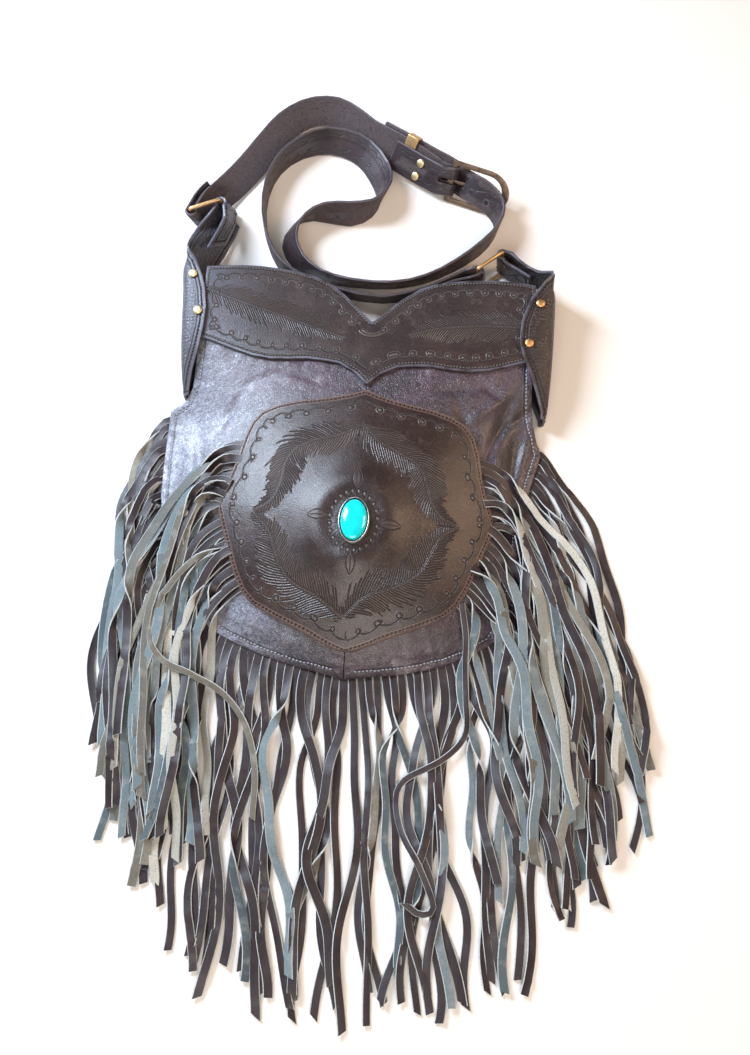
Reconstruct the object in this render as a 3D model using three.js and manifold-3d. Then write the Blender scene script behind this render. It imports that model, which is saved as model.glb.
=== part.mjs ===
// Fringed leather hobo bag lying on its back, front up, strap loosely curled above it.
// Millimetres. +X is the bag's right as seen from above, +Y runs to the strap, +Z is up off the surface.
// The origin is on the back panel's outer face, straight below the shield's middle.
import * as THREE from 'three';
import Module from 'manifold-3d';

const wasm = await Module();
wasm.setup();

// Driving sizes
const bagHalf = 184;
const pouchTall = 390;
const seamY = -139;
const bodyTall = 52;
const leather = 2.2;
const stiff = 2.8;
const fit = 0.35;
const strapWide = 30;
const strapSpread = 200;
const strapThick = 3.2;
const wire = 4.4;
const ringLong = 31;
const rivetWide = 9;
const rivetTall = 1.9;
const shieldHalf = 126;
const shieldTall = 121;
const domeTall = 6;
const stoneHalf = 12.2;
const stoneLong = 19.8;
const stoneTall = 6.2;
const fringeLong = 275;
const fringeThick = 1.5;

const colours = {
  tooled: 0x33272a,
  soft: 0x3d3036,
  suede: 0x4a4a4c,
  brass: 0xb8925a,
  bronze: 0x6b5648,
  silver: 0xb9b4ab,
  stone: 0x17d8cf,
};
const finishes = {};
for (const [key, colour] of Object.entries(colours)) {
  finishes[key] = new THREE.MeshStandardMaterial({ name: key, color: colour, roughness: 0.6 });
}
finishes.brass.metalness = 1;
finishes.bronze.metalness = 1;
finishes.silver.metalness = 1;

const group = new THREE.Group();
group.name = 'fringed_hobo_bag';

function add(name, geometry, finish) {
  const mesh = new THREE.Mesh(geometry, finishes[finish]);
  mesh.name = name;
  group.add(mesh);
}

const vec = (x, y, z) => new THREE.Vector3(x, y, z);
const up = vec(0, 0, 1);
const rad = THREE.MathUtils.degToRad;
const ease = (from, to, value) => THREE.MathUtils.smoothstep(value, from, to);
const height = (share) => seamY + share * pouchTall;
// Place beyond the mouth: x and y as shares of the strap's spread, z as a share of its width
const over = (x, y, z = 0) => vec(x * strapSpread, height(1) + y * strapSpread, z * strapWide);

// Value of a column of a table at a place between two rows
function look(table, key, column, at) {
  if (at <= table[0][key]) {
    return table[0][column];
  }
  for (let i = 1; i < table.length; i += 1) {
    const a = table[i - 1];
    const b = table[i];
    if (at <= b[key]) {
      return a[column] + ((at - a[key]) / (b[key] - a[key])) * (b[column] - a[column]);
    }
  }
  return table[table.length - 1][column];
}

// Point at a share of the length of a path of flat points
function along(path, share) {
  const lengths = [0];
  for (let i = 1; i < path.length; i += 1) {
    lengths.push(lengths[i - 1] + path[i].distanceTo(path[i - 1]));
  }
  const goal = share * lengths[lengths.length - 1];
  let i = 1;
  while (i < path.length - 1 && lengths[i] < goal) {
    i += 1;
  }
  const part = (goal - lengths[i - 1]) / (lengths[i] - lengths[i - 1]);
  return path[i - 1].clone().lerp(path[i], Math.min(1, Math.max(0, part)));
}

// Closed leather sheet over a grid of points, its middle shifted along the face by `shift`
function sheet(grid, thick, shift = 0, rising = null) {
  const rows = grid.length;
  const cols = grid[0].length;
  const points = [];
  const normalAt = (i, j) => {
    if (rising) {
      return rising;
    }
    const du = grid[Math.min(rows - 1, i + 1)][j].clone().sub(grid[Math.max(0, i - 1)][j]);
    const dv = grid[i][Math.min(cols - 1, j + 1)].clone().sub(grid[i][Math.max(0, j - 1)]);
    return du.cross(dv).normalize();
  };
  for (const side of [0.5, -0.5]) {
    for (let i = 0; i < rows; i += 1) {
      for (let j = 0; j < cols; j += 1) {
        points.push(grid[i][j].clone().addScaledVector(normalAt(i, j), shift + side * thick));
      }
    }
  }
  const face = [];
  const low = rows * cols;
  const id = (i, j) => i * cols + j;
  const quad = (a, b, c, d) => face.push(a, b, c, a, c, d);
  for (let i = 0; i < rows - 1; i += 1) {
    for (let j = 0; j < cols - 1; j += 1) {
      quad(id(i, j), id(i + 1, j), id(i + 1, j + 1), id(i, j + 1));
      quad(low + id(i, j), low + id(i, j + 1), low + id(i + 1, j + 1), low + id(i + 1, j));
    }
  }
  for (let i = 0; i < rows - 1; i += 1) {
    quad(id(i + 1, 0), id(i, 0), low + id(i, 0), low + id(i + 1, 0));
    quad(id(i, cols - 1), id(i + 1, cols - 1), low + id(i + 1, cols - 1), low + id(i, cols - 1));
  }
  for (let j = 0; j < cols - 1; j += 1) {
    quad(id(0, j), id(0, j + 1), low + id(0, j + 1), low + id(0, j));
    quad(id(rows - 1, j + 1), id(rows - 1, j), low + id(rows - 1, j), low + id(rows - 1, j + 1));
  }
  return outward(points, face);
}

function solidOf(points, face) {
  const geometry = new THREE.BufferGeometry();
  const places = points.flatMap((p) => p.toArray());
  geometry.setAttribute('position', new THREE.Float32BufferAttribute(places, 3));
  geometry.setIndex(face);
  geometry.computeVertexNormals();
  return geometry;
}

// Joins and cuts run on the same closed solids
function toManifold(geometry) {
  const mesh = new wasm.Mesh({
    numProp: 3,
    vertProperties: new Float32Array(geometry.attributes.position.array),
    triVerts: new Uint32Array(geometry.index.array),
  });
  return new wasm.Manifold(mesh);
}

function fromManifold(solid) {
  const mesh = solid.getMesh();
  const geometry = new THREE.BufferGeometry();
  geometry.setAttribute('position', new THREE.Float32BufferAttribute(mesh.vertProperties, 3));
  geometry.setIndex(Array.from(mesh.triVerts));
  geometry.computeVertexNormals();
  return geometry;
}

// The same solid with its faces turned outwards
function outward(points, face) {
  const turned = toManifold(solidOf(points, face)).volume() < 0;
  return solidOf(points, turned ? face.reverse() : face);
}

// Seam outline of the pouch from the bottom middle up each side; x as a share of the half width,
// s as a share of the pouch height above the bottom seam
const seamPath = {
  left: {
    bottom: [[0, 0], [0.21, 0.02], [0.41, 0.044], [0.54, 0.067], [0.65, 0.09], [0.71, 0.12]],
    side: [[0.71, 0.12], [0.8, 0.167], [0.885, 0.228], [0.955, 0.305], [0.99, 0.397], [1, 0.477],
      [1.005, 0.554], [1, 0.628], [0.9, 0.65], [0.886, 0.7], [0.88, 0.78]],
  },
  right: {
    bottom: [[0, 0], [0.27, 0.02], [0.46, 0.044], [0.6, 0.076], [0.69, 0.104], [0.735, 0.138]],
    side: [[0.735, 0.138], [0.777, 0.203], [0.8, 0.279], [0.81, 0.356], [0.826, 0.433], [0.86, 0.497],
      [0.89, 0.549], [0.915, 0.595], [0.86, 0.62], [0.84, 0.69], [0.83, 0.78]],
  },
};

// Front surface of the pouch by height: `mid` on the centre line and `rim` at the sides,
// as shares of the body height, and the half widths it spans
const frontRows = [
  { s: 0, mid: 0.12, rim: 0.12, left: 0.1, right: 0.1 },
  { s: 0.018, mid: 0.25, rim: 0.12, left: 0.2, right: 0.25 },
  { s: 0.046, mid: 0.385, rim: 0.12, left: 0.41, right: 0.46 },
  { s: 0.087, mid: 0.52, rim: 0.12, left: 0.62, right: 0.63 },
  { s: 0.13, mid: 0.65, rim: 0.12, left: 0.7, right: 0.7 },
  { s: 0.2, mid: 0.83, rim: 0.12, left: 0.8, right: 0.735 },
  { s: 0.28, mid: 0.94, rim: 0.12, left: 0.89, right: 0.765 },
  { s: 0.356, mid: 1, rim: 0.12, left: 0.94, right: 0.78 },
  { s: 0.46, mid: 0.98, rim: 0.12, left: 0.96, right: 0.81 },
  { s: 0.56, mid: 0.92, rim: 0.12, left: 0.965, right: 0.86 },
  { s: 0.6, mid: 0.89, rim: 0.13, left: 0.95, right: 0.86 },
  { s: 0.65, mid: 0.86, rim: 0.33, left: 0.91, right: 0.85 },
  { s: 0.7, mid: 0.83, rim: 0.5, left: 0.89, right: 0.84 },
  { s: 0.767, mid: 0.8, rim: 0.66, left: 0.88, right: 0.83 },
  { s: 0.81, mid: 0.77, rim: 0.74, left: 0.88, right: 0.83 },
  { s: 0.86, mid: 0.73, rim: 0.8, left: 0.88, right: 0.83 },
  { s: 1, mid: 0.71, rim: 0.86, left: 0.88, right: 0.83 },
];

// Yoke edges by distance from the centre line (share of the half width): heights as pouch shares
const yokeRows = [
  { x: 0, low: 0.685, high: 0.859 },
  { x: 0.065, low: 0.715, high: 0.891 },
  { x: 0.147, low: 0.738, high: 0.931 },
  { x: 0.234, low: 0.744, high: 0.962 },
  { x: 0.315, low: 0.747, high: 0.978 },
  { x: 0.435, low: 0.742, high: 0.99 },
  { x: 0.544, low: 0.743, high: 0.994 },
  { x: 0.652, low: 0.757, high: 0.994 },
  { x: 0.761, low: 0.776, high: 0.988 },
  { x: 0.87, low: 0.793, high: 0.978 },
];
const yokeLow = (x) => height(look(yokeRows, 'x', 'low', Math.abs(x) / bagHalf));
const yokeHigh = (x) => height(look(yokeRows, 'x', 'high', Math.abs(x) / bagHalf));

// Outline of the tooled shield, right half, as shares of its half width and half height
const shieldRows = [
  [0, 1], [0.11, 0.955], [0.22, 0.925], [0.35, 0.9], [0.48, 0.885], [0.63, 0.85], [0.74, 0.8], [0.81, 0.71],
  [0.85, 0.58], [0.88, 0.41], [0.93, 0.23], [1, 0.06], [0.945, -0.107], [0.88, -0.3], [0.82, -0.47],
  [0.755, -0.6], [0.667, -0.694], [0.48, -0.79], [0.28, -0.876], [0.135, -0.95], [0, -1],
];
const shieldLine = [];
shieldRows.forEach(([x, y]) => shieldLine.push(vec(x * shieldHalf, y * shieldTall, 0)));
shieldRows.slice(1, -1).reverse().forEach(([x, y]) => {
  shieldLine.push(vec(-x * shieldHalf, y * shieldTall, 0));
});

// How far out a place lies, 1 on the shield's outline
function shieldShare(x, y) {
  const reach = Math.hypot(x, y);
  if (reach < 1e-6) {
    return 0;
  }
  for (let i = 0; i < shieldLine.length; i += 1) {
    const a = shieldLine[i];
    const b = shieldLine[(i + 1) % shieldLine.length];
    const cross = x * (b.y - a.y) - y * (b.x - a.x);
    const t = (a.x * (b.y - a.y) - a.y * (b.x - a.x)) / cross;
    const u = Math.abs(b.x - a.x) > Math.abs(b.y - a.y)
      ? (t * x - a.x) / (b.x - a.x)
      : (t * y - a.y) / (b.y - a.y);
    if (t > 0 && u >= -1e-6 && u <= 1 + 1e-6) {
      return 1 / t;
    }
  }
  return 1;
}

// Folds and dents of the soft panels: place, turn of the long axis, half sizes and depth
const folds = [
  { x: 122, y: 92, turn: 80, long: 46, wide: 13, deep: -8 },
  { x: 146, y: 66, turn: 84, long: 44, wide: 14, deep: 7 },
  { x: 96, y: 128, turn: 20, long: 34, wide: 12, deep: -4 },
  { x: -146, y: 92, turn: 96, long: 60, wide: 20, deep: -5 },
  { x: -118, y: 128, turn: 150, long: 36, wide: 14, deep: 4 },
  { x: -60, y: 134, turn: 170, long: 40, wide: 12, deep: -2.5 },
  { x: 40, y: 130, turn: 10, long: 30, wide: 9, deep: -2.5 },
  { x: -112, y: -88, turn: 130, long: 34, wide: 12, deep: -4 },
  { x: 116, y: -78, turn: 60, long: 34, wide: 12, deep: -5 },
  { x: -6, y: -131, turn: 0, long: 90, wide: 6, deep: 2 },
];

// Outer face of the front of the pouch
function frontZ(x, y) {
  const s = (y - seamY) / pouchTall;
  const side = x < 0 ? 'left' : 'right';
  const half = look(frontRows, 's', side, s) * bagHalf;
  const rim = look(frontRows, 's', 'rim', s) * bodyTall;
  const mid = look(frontRows, 's', 'mid', s) * bodyTall;
  const q = Math.min(1, Math.abs(x) / half);
  let z = rim + (mid - rim) * (1 - q * q);
  const clear = ease(1.03, 1.25, shieldShare(x, y)) * ease(0, 18, yokeLow(x) - y) * ease(1, 0.9, q);
  for (const fold of folds) {
    const c = Math.cos(rad(fold.turn));
    const n = Math.sin(rad(fold.turn));
    const u = ((x - fold.x) * c + (y - fold.y) * n) / fold.long;
    const v = ((y - fold.y) * c - (x - fold.x) * n) / fold.wide;
    z += clear * fold.deep * Math.exp(-u * u - v * v);
  }
  return Math.max(z, 0.12 * bodyTall);
}

// Grid between four border paths, with lines at the given shares of the way up
function patch(low, high, left, right, across, shares) {
  const grid = [];
  for (let i = 0; i <= across; i += 1) {
    const u = i / across;
    const column = [];
    for (const v of shares) {
      const p = along(low, u).multiplyScalar(1 - v).addScaledVector(along(high, u), v);
      p.addScaledVector(along(left, v), 1 - u).addScaledVector(along(right, v), u);
      p.addScaledVector(low[0], -(1 - u) * (1 - v)).addScaledVector(low[low.length - 1], -u * (1 - v));
      p.addScaledVector(high[0], -(1 - u) * v).addScaledVector(high[high.length - 1], -u * v);
      column.push(p);
    }
    grid.push(column);
  }
  return grid;
}

const lap = 12;
const seamGap = 0.2;
const frontShares = [0, 0.025, 0.06, 0.11, 0.17, 0.24, 0.33, 0.42, 0.5, 0.58, 0.64, 0.7, 0.755, 0.81, 0.86,
  0.91, 0.955, 1];
const backShares = [0, 0.05, 0.13, 0.24, 0.36, 0.48, 0.6, 0.68, 0.74, 0.78, 0.82, 0.86, 0.9, 0.945, 1];

// Flat grid of half a panel, from the centre line out to the side seam
function halfPanel(side, across, shares, inset) {
  const sign = side === 'left' ? -1 : 1;
  const place = ([x, s]) => vec(sign * x * bagHalf, height(s), 0);
  const low = seamPath[side].bottom.map(place);
  const rim = seamPath[side].side.map(place);
  low[0].x = sign * inset;
  const top = rim[rim.length - 1];
  const high = [];
  for (let k = 0; k <= 8; k += 1) {
    const x = inset + (k / 8) * (Math.abs(top.x) - inset);
    high.push(vec(sign * x, yokeLow(x) + lap, 0));
  }
  rim[rim.length - 1].y = high[8].y;
  return patch(low, high, [low[0], high[0]], rim, across, shares);
}

function lifted(grid, rule) {
  return grid.map((column) => column.map((p) => vec(p.x, p.y, rule(p.x, p.y))));
}

for (const side of ['left', 'right']) {
  const grid = lifted(halfPanel(side, 10, frontShares, seamGap), frontZ);
  if (side === 'left') {
    grid.reverse();
  }
  add(`front_panel_${side}`, sheet(grid, leather, -leather / 2, up), 'soft');
}

// Back: the panel is flat on the surface; its edges lift over the side pieces' back flaps
const backLift = rivetTall + stiff + 3 * fit;
function backEdge(x, y) {
  const limit = x < 0 ? 0.8 : 0.7;
  const outer = ease(limit - 0.25, limit, Math.abs(x) / bagHalf);
  return backLift * outer * ease(0.632, 0.664, (y - seamY) / pouchTall);
}
function backZ(x, y) {
  const over = (stiff + 3 * fit) * ease(-20, -6, y - yokeLow(x));
  return backEdge(x, y) + over;
}
{
  const left = halfPanel('left', 8, backShares, 0).reverse();
  const right = halfPanel('right', 8, backShares, 0);
  const grid = lifted(left.concat(right.slice(1)), backZ);
  add('back_panel', sheet(grid, leather, leather / 2, up), 'soft');
}

// Yokes: stiff tooled bands with a V notch at the top and a point at the bottom
function yokeGrid(rule) {
  const reach = [-0.88, -0.8, -0.7, -0.6, -0.5, -0.4, -0.315, -0.234, -0.147, -0.065, 0, 0.065, 0.147, 0.234,
    0.315, 0.4, 0.5, 0.6, 0.7, 0.77, 0.83];
  return reach.map((share) => {
    const x = share * bagHalf;
    const column = [];
    for (let j = 0; j <= 5; j += 1) {
      const y = yokeLow(x) + (j / 5) * (yokeHigh(x) - yokeLow(x));
      column.push(vec(x, y, rule(x, y)));
    }
    return column;
  });
}
add('yoke_front', sheet(yokeGrid((x, y) => frontZ(x, y) + 2 * fit), stiff, stiff / 2, up), 'tooled');
add('yoke_back', sheet(yokeGrid(backEdge), stiff, stiff / 2, up), 'tooled');

// Shield: domed tooled leather over the front panel, raised round the stone
const seatShare = 1.55;
const stoneY = -0.107 * shieldTall;
const ovalShare = (x, y) => Math.hypot(x / stoneHalf, (y - stoneY) / stoneLong);
function shieldZ(x, y) {
  const base = frontZ(x, y) + fringeThick + 4 * fit + stiff;
  const share = shieldShare(x, y);
  const oval = ovalShare(x, y);
  const dome = domeTall * (1 - Math.exp(-3.2 * (1 - Math.min(1, share))));
  const swell = 3.4 * Math.exp(-Math.pow(Math.max(0, oval - seatShare) / 1.5, 2));
  return base + dome + swell;
}
const seatZ = shieldZ(0, stoneY + stoneLong * seatShare);
const shieldTop = (x, y) => {
  const oval = ovalShare(x, y);
  return seatZ + (shieldZ(x, y) - seatZ) * ease(1.25, 2.2, oval);
};
{
  const steps = [1, 0.965, 0.87, 0.7, 0.5, 0.32, 0.19];
  const points = [];
  const face = [];
  const count = shieldLine.length;
  for (const drop of [0, stiff]) {
    for (const step of steps) {
      for (const p of shieldLine) {
        const x = p.x * step;
        const y = p.y * step + stoneY * (1 - step);
        points.push(vec(x, y, shieldTop(x, y) - drop));
      }
    }
    points.push(vec(0, stoneY, seatZ - drop));
  }
  const layer = steps.length * count + 1;
  for (let k = 0; k < count; k += 1) {
    const n = (k + 1) % count;
    for (let r = 0; r < steps.length - 1; r += 1) {
      const a = r * count + k;
      const b = r * count + n;
      const c = a + count;
      const d = b + count;
      face.push(a, c, b, b, c, d);
      face.push(layer + a, layer + b, layer + c, layer + b, layer + d, layer + c);
    }
    const last = (steps.length - 1) * count;
    face.push(last + k, layer - 1, last + n);
    face.push(layer + last + k, layer + last + n, 2 * layer - 1);
    face.push(k, n, layer + k, n, layer + n, layer + k);
  }
  add('shield', solidOf(points, face), 'tooled');
}

// Stone and its thin metal setting
function oval(rings, count) {
  const points = [];
  const face = [];
  for (const ring of rings) {
    for (let k = 0; k < count; k += 1) {
      const a = (2 * Math.PI * k) / count;
      const x = (stoneHalf + ring.out) * ring.size * Math.cos(a);
      const y = stoneY + (stoneLong + ring.out) * ring.size * Math.sin(a);
      points.push(vec(x, y, ring.z));
    }
  }
  return { points, face, count };
}
{
  const base = seatZ + fit;
  const count = 24;
  const rings = [{ out: 0, size: 0.93, z: base }, { out: 0, size: 0.95, z: base + 2 }];
  for (const rise of [20, 42, 66]) {
    const z = base + 2 + (stoneTall - 2) * Math.sin(rad(rise));
    rings.push({ out: 0, size: 0.95 * Math.cos(rad(rise)), z });
  }
  const { points, face } = oval(rings, count);
  points.push(vec(0, stoneY, base), vec(0, stoneY, base + stoneTall));
  const top = points.length - 1;
  for (let k = 0; k < count; k += 1) {
    const n = (k + 1) % count;
    for (let r = 0; r < rings.length - 1; r += 1) {
      const a = r * count;
      face.push(a + k, a + n, a + count + n, a + k, a + count + n, a + count + k);
    }
    face.push(n, k, top - 1);
    face.push((rings.length - 1) * count + k, (rings.length - 1) * count + n, top);
  }
  add('stone', solidOf(points, face), 'stone');
}
{
  const base = seatZ + fit;
  const count = 28;
  const rings = [
    { out: 1.9, size: 1, z: base },
    { out: 1.5, size: 1, z: base + 1.6 },
    { out: 0.8, size: 1, z: base + 2.5 },
    { out: 0.1, size: 1, z: base + 2.3 },
    { out: 0.1, size: 1, z: base },
  ];
  const { points, face } = oval(rings, count);
  for (let r = 0; r < rings.length; r += 1) {
    const a = r * count;
    const b = ((r + 1) % rings.length) * count;
    for (let k = 0; k < count; k += 1) {
      const n = (k + 1) % count;
      face.push(a + k, a + n, b + n, a + k, b + n, b + k);
    }
  }
  add('stone_bezel', solidOf(points, face), 'silver');
}

// Rings: upright wire loops; `bar` lists the top ends of the strap side and the tab side
const ringDrop = strapWide + wire + 2.2;
const rings = {
  left: { strap: over(-0.95, 0.305), tab: over(-0.8125, 0.3675), slant: vec(0.3, 0.2333, 0) },
  right: { strap: over(0.485, 0.0675), tab: over(0.605, 0.175), slant: vec(0.1333, 0.0333, 0) },
};
for (const [side, ring] of Object.entries(rings)) {
  const along3 = ring.tab.clone().sub(ring.strap).setLength(ringLong);
  ring.tab = ring.strap.clone().add(along3);
  ring.axis = along3.clone().normalize();
  const high = wire / 2 + ringDrop;
  ring.slant.multiplyScalar(strapWide);
  ring.bars = {
    strap: [ring.strap.clone().setZ(high), ring.strap.clone().add(ring.slant).setZ(wire / 2)],
    tab: [ring.tab.clone().setZ(high), ring.tab.clone().add(ring.slant).setZ(wire / 2)],
  };
  const corners = [ring.bars.strap[0], ring.bars.tab[0], ring.bars.tab[1], ring.bars.strap[1]];
  const bend = 3.2;
  const path = [];
  corners.forEach((corner, k) => {
    const before = corners[(k + 3) % 4].clone().sub(corner).normalize();
    const after = corners[(k + 1) % 4].clone().sub(corner).normalize();
    for (const t of [0, 0.33, 0.67, 1]) {
      const p = corner.clone();
      p.addScaledVector(before, bend * (1 - t) * (1 - t));
      p.addScaledVector(after, bend * t * t);
      path.push(p);
    }
  });
  const centre = corners[0].clone().add(corners[2]).multiplyScalar(0.5);
  const facing = corners[1].clone().sub(corners[0]).cross(corners[3].clone().sub(corners[0])).normalize();
  const count = 8;
  const points = [];
  const face = [];
  path.forEach((p, i) => {
    const next = path[(i + 1) % path.length];
    const prev = path[(i + path.length - 1) % path.length];
    const run = next.clone().sub(prev).normalize();
    const out = run.clone().cross(facing).normalize();
    if (out.dot(p.clone().sub(centre)) < 0) {
      out.negate();
    }
    for (let k = 0; k < count; k += 1) {
      const a = (2 * Math.PI * k) / count;
      const rim = p.clone().addScaledVector(out, (wire / 2) * Math.cos(a));
      points.push(rim.addScaledVector(facing, (wire / 2) * Math.sin(a)));
    }
  });
  for (let i = 0; i < path.length; i += 1) {
    const b = (i + 1) % path.length;
    for (let k = 0; k < count; k += 1) {
      const n = (k + 1) % count;
      face.push(i * count + k, i * count + n, b * count + n, i * count + k, b * count + n, b * count + k);
    }
  }
  add(`ring_${side}`, outward(points, face), 'brass');
}

// Rows of a ribbon round a ring's bar: angles run from `from` to `to` degrees about the bar,
// 0 pointing along the ring from the strap side to the tab side
function wrap(ring, which, from, to, radius, steps) {
  const rows = [];
  const [high, low] = ring.bars[which];
  const sideways = vec(-ring.axis.y, ring.axis.x, 0);
  const slack = (ringDrop - strapWide) / 2;
  const a = high.clone().lerp(low, slack / ringDrop);
  const b = low.clone().lerp(high, slack / ringDrop);
  for (let k = 0; k <= steps; k += 1) {
    const t = rad(from + (k / steps) * (to - from));
    const off = ring.axis.clone().multiplyScalar(radius * Math.cos(t));
    off.addScaledVector(sideways, radius * Math.sin(t));
    rows.push([a.clone().add(off), b.clone().add(off)]);
  }
  return rows;
}

// Rows of a strap run standing on its edge, leaning `lean` degrees to the left of its travel and
// held `rise` above the surface
function strapRows(table, steps) {
  const smooth = (third) => {
    const places = table.map((row) => over(row.x, row.y).setZ(third(row)));
    return new THREE.CatmullRomCurve3(places, false, 'centripetal');
  };
  const middle = smooth(() => 0);
  const tilt = smooth((row) => row.lean);
  const lift = smooth((row) => (row.rise || 0) * strapWide);
  const rows = [];
  for (let k = 0; k <= steps; k += 1) {
    const u = k / steps;
    const p = middle.getPoint(u);
    const run = middle.getTangent(u);
    const lean = rad(tilt.getPoint(u).z);
    const left = vec(-run.y, run.x, 0);
    const cross = left.multiplyScalar(Math.sin(lean)).addScaledVector(up, Math.cos(lean));
    const low = (strapWide / 2) * Math.cos(lean) + (strapThick / 2) * Math.abs(Math.sin(lean));
    const c = vec(p.x, p.y, low + 0.2 + lift.getPoint(u).z);
    rows.push([
      c.clone().addScaledVector(cross, strapWide / 2),
      c.clone().addScaledVector(cross, -strapWide / 2),
    ]);
  }
  return rows;
}

// Smoothly joins lists of edge-pair rows
function blended(rows, steps) {
  const tops = new THREE.CatmullRomCurve3(rows.map((row) => row[0]), false, 'centripetal');
  const lows = new THREE.CatmullRomCurve3(rows.map((row) => row[1]), false, 'centripetal');
  const out = [];
  for (let k = 0; k <= steps; k += 1) {
    out.push([tops.getPoint(k / steps), lows.getPoint(k / steps)]);
  }
  return out;
}

// Long strap: from the right ring, round the curl, through the buckle to its free end
const longRun = [
  { x: 0.42, y: 0.1, lean: 10 }, { x: 0.34, y: 0.05, lean: 11 }, { x: 0.21, y: -0.02, lean: 13 },
  { x: 0.025, y: -0.065, lean: 19 }, { x: -0.16, y: -0.045, lean: 16 }, { x: -0.35, y: 0.01, lean: 11 },
  { x: -0.47, y: 0.08, lean: 4 }, { x: -0.54, y: 0.185, lean: 2 }, { x: -0.585, y: 0.31, lean: 2 },
  { x: -0.605, y: 0.47, lean: 0 }, { x: -0.585, y: 0.615, lean: 0 }, { x: -0.53, y: 0.73, lean: 3 },
  { x: -0.43, y: 0.82, lean: 12 }, { x: -0.305, y: 0.865, lean: 29 }, { x: -0.19, y: 0.85, lean: 42 },
  { x: -0.1, y: 0.79, lean: 47 }, { x: -0.035, y: 0.695, lean: 46 }, { x: -0.005, y: 0.6, lean: 32 },
  { x: -0.015, y: 0.52, lean: 14 }, { x: -0.065, y: 0.455, lean: 0 }, { x: -0.16, y: 0.42, lean: -18 },
  { x: -0.265, y: 0.42, lean: -10 }, { x: -0.365, y: 0.4, lean: 14 }, { x: -0.43, y: 0.345, lean: 28 },
  { x: -0.455, y: 0.26, lean: 33 }, { x: -0.43, y: 0.175, lean: 24 }, { x: -0.375, y: 0.105, lean: 8 },
  { x: -0.29, y: 0.055, lean: -8 }, { x: -0.18, y: 0.025, lean: -15 }, { x: 0, y: 0.015, lean: -19 },
  { x: 0.145, y: 0.035, lean: -19 }, { x: 0.27, y: 0.085, lean: -15 }, { x: 0.39, y: 0.165, lean: -9 },
  { x: 0.5, y: 0.265, lean: -4 }, { x: 0.565, y: 0.355, lean: -6 }, { x: 0.59, y: 0.435, lean: -12 },
  { x: 0.57, y: 0.505, lean: -24, rise: 0.0667 }, { x: 0.52, y: 0.55, lean: -32, rise: 0.2 },
  { x: 0.465, y: 0.585, lean: -36, rise: 0.2667 }, { x: 0.415, y: 0.63, lean: -38, rise: 0.1333 },
  { x: 0.37, y: 0.68, lean: -38, rise: 0.0167 }, { x: 0.31, y: 0.725, lean: -38, rise: 0.0333 },
  { x: 0.24, y: 0.7525, lean: -38, rise: 0.1133 }, { x: 0.165, y: 0.79, lean: -38, rise: 0.1667 },
  { x: 0.09, y: 0.835, lean: -38, rise: 0.1667 }, { x: 0.015, y: 0.885, lean: -38, rise: 0.1 },
  { x: -0.045, y: 0.9275, lean: -38, rise: 0.0333 },
];
// Short strap: from the left ring round above the bag to the buckle's bar
const shortRun = [
  { x: -0.89, y: 0.39, lean: 14, rise: 0.1667 }, { x: -0.85, y: 0.45, lean: 38, rise: 0.1 },
  { x: -0.78, y: 0.57, lean: 59 }, { x: -0.695, y: 0.705, lean: 62 }, { x: -0.615, y: 0.85, lean: 61 },
  { x: -0.535, y: 0.97, lean: 54 }, { x: -0.42, y: 1.05, lean: 46 }, { x: -0.29, y: 1.06, lean: 42 },
  { x: -0.18, y: 0.995, lean: 39 }, { x: -0.1, y: 0.93, lean: 38 },
  { x: -0.02, y: 0.875, lean: 38, rise: 0.1 },
  { x: 0.065, y: 0.82, lean: 38, rise: 0.1667 }, { x: 0.14, y: 0.7725, lean: 38, rise: 0.1667 },
  { x: 0.215, y: 0.725, lean: 38, rise: 0.1133 }, { x: 0.285, y: 0.68, lean: 38, rise: 0.0767 },
];
const wrapRadius = wire / 2 + fit + strapThick / 2 + 0.9;
const strapSolid = {};
const strapFold = {};
{
  const bar = rings.right;
  const main = strapRows(longRun, 78);
  const tail = blended([
    [over(0.2, -0.0725, 1.1), over(0.21, -0.0375, 0.1)],
    [over(0.29, -0.0325, 1.1), over(0.3, 0, 0.1)],
    [over(0.38, 0.0125, 1.1167), over(0.395, 0.0375, 0.1167)],
    ...wrap(bar, 'strap', -80, -40, wrapRadius, 1),
  ], 8);
  const turn = wrap(bar, 'strap', -40, 110, wrapRadius, 6).slice(1);
  strapSolid.long = sheet([...tail, ...turn, ...main], strapThick);
}

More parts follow.
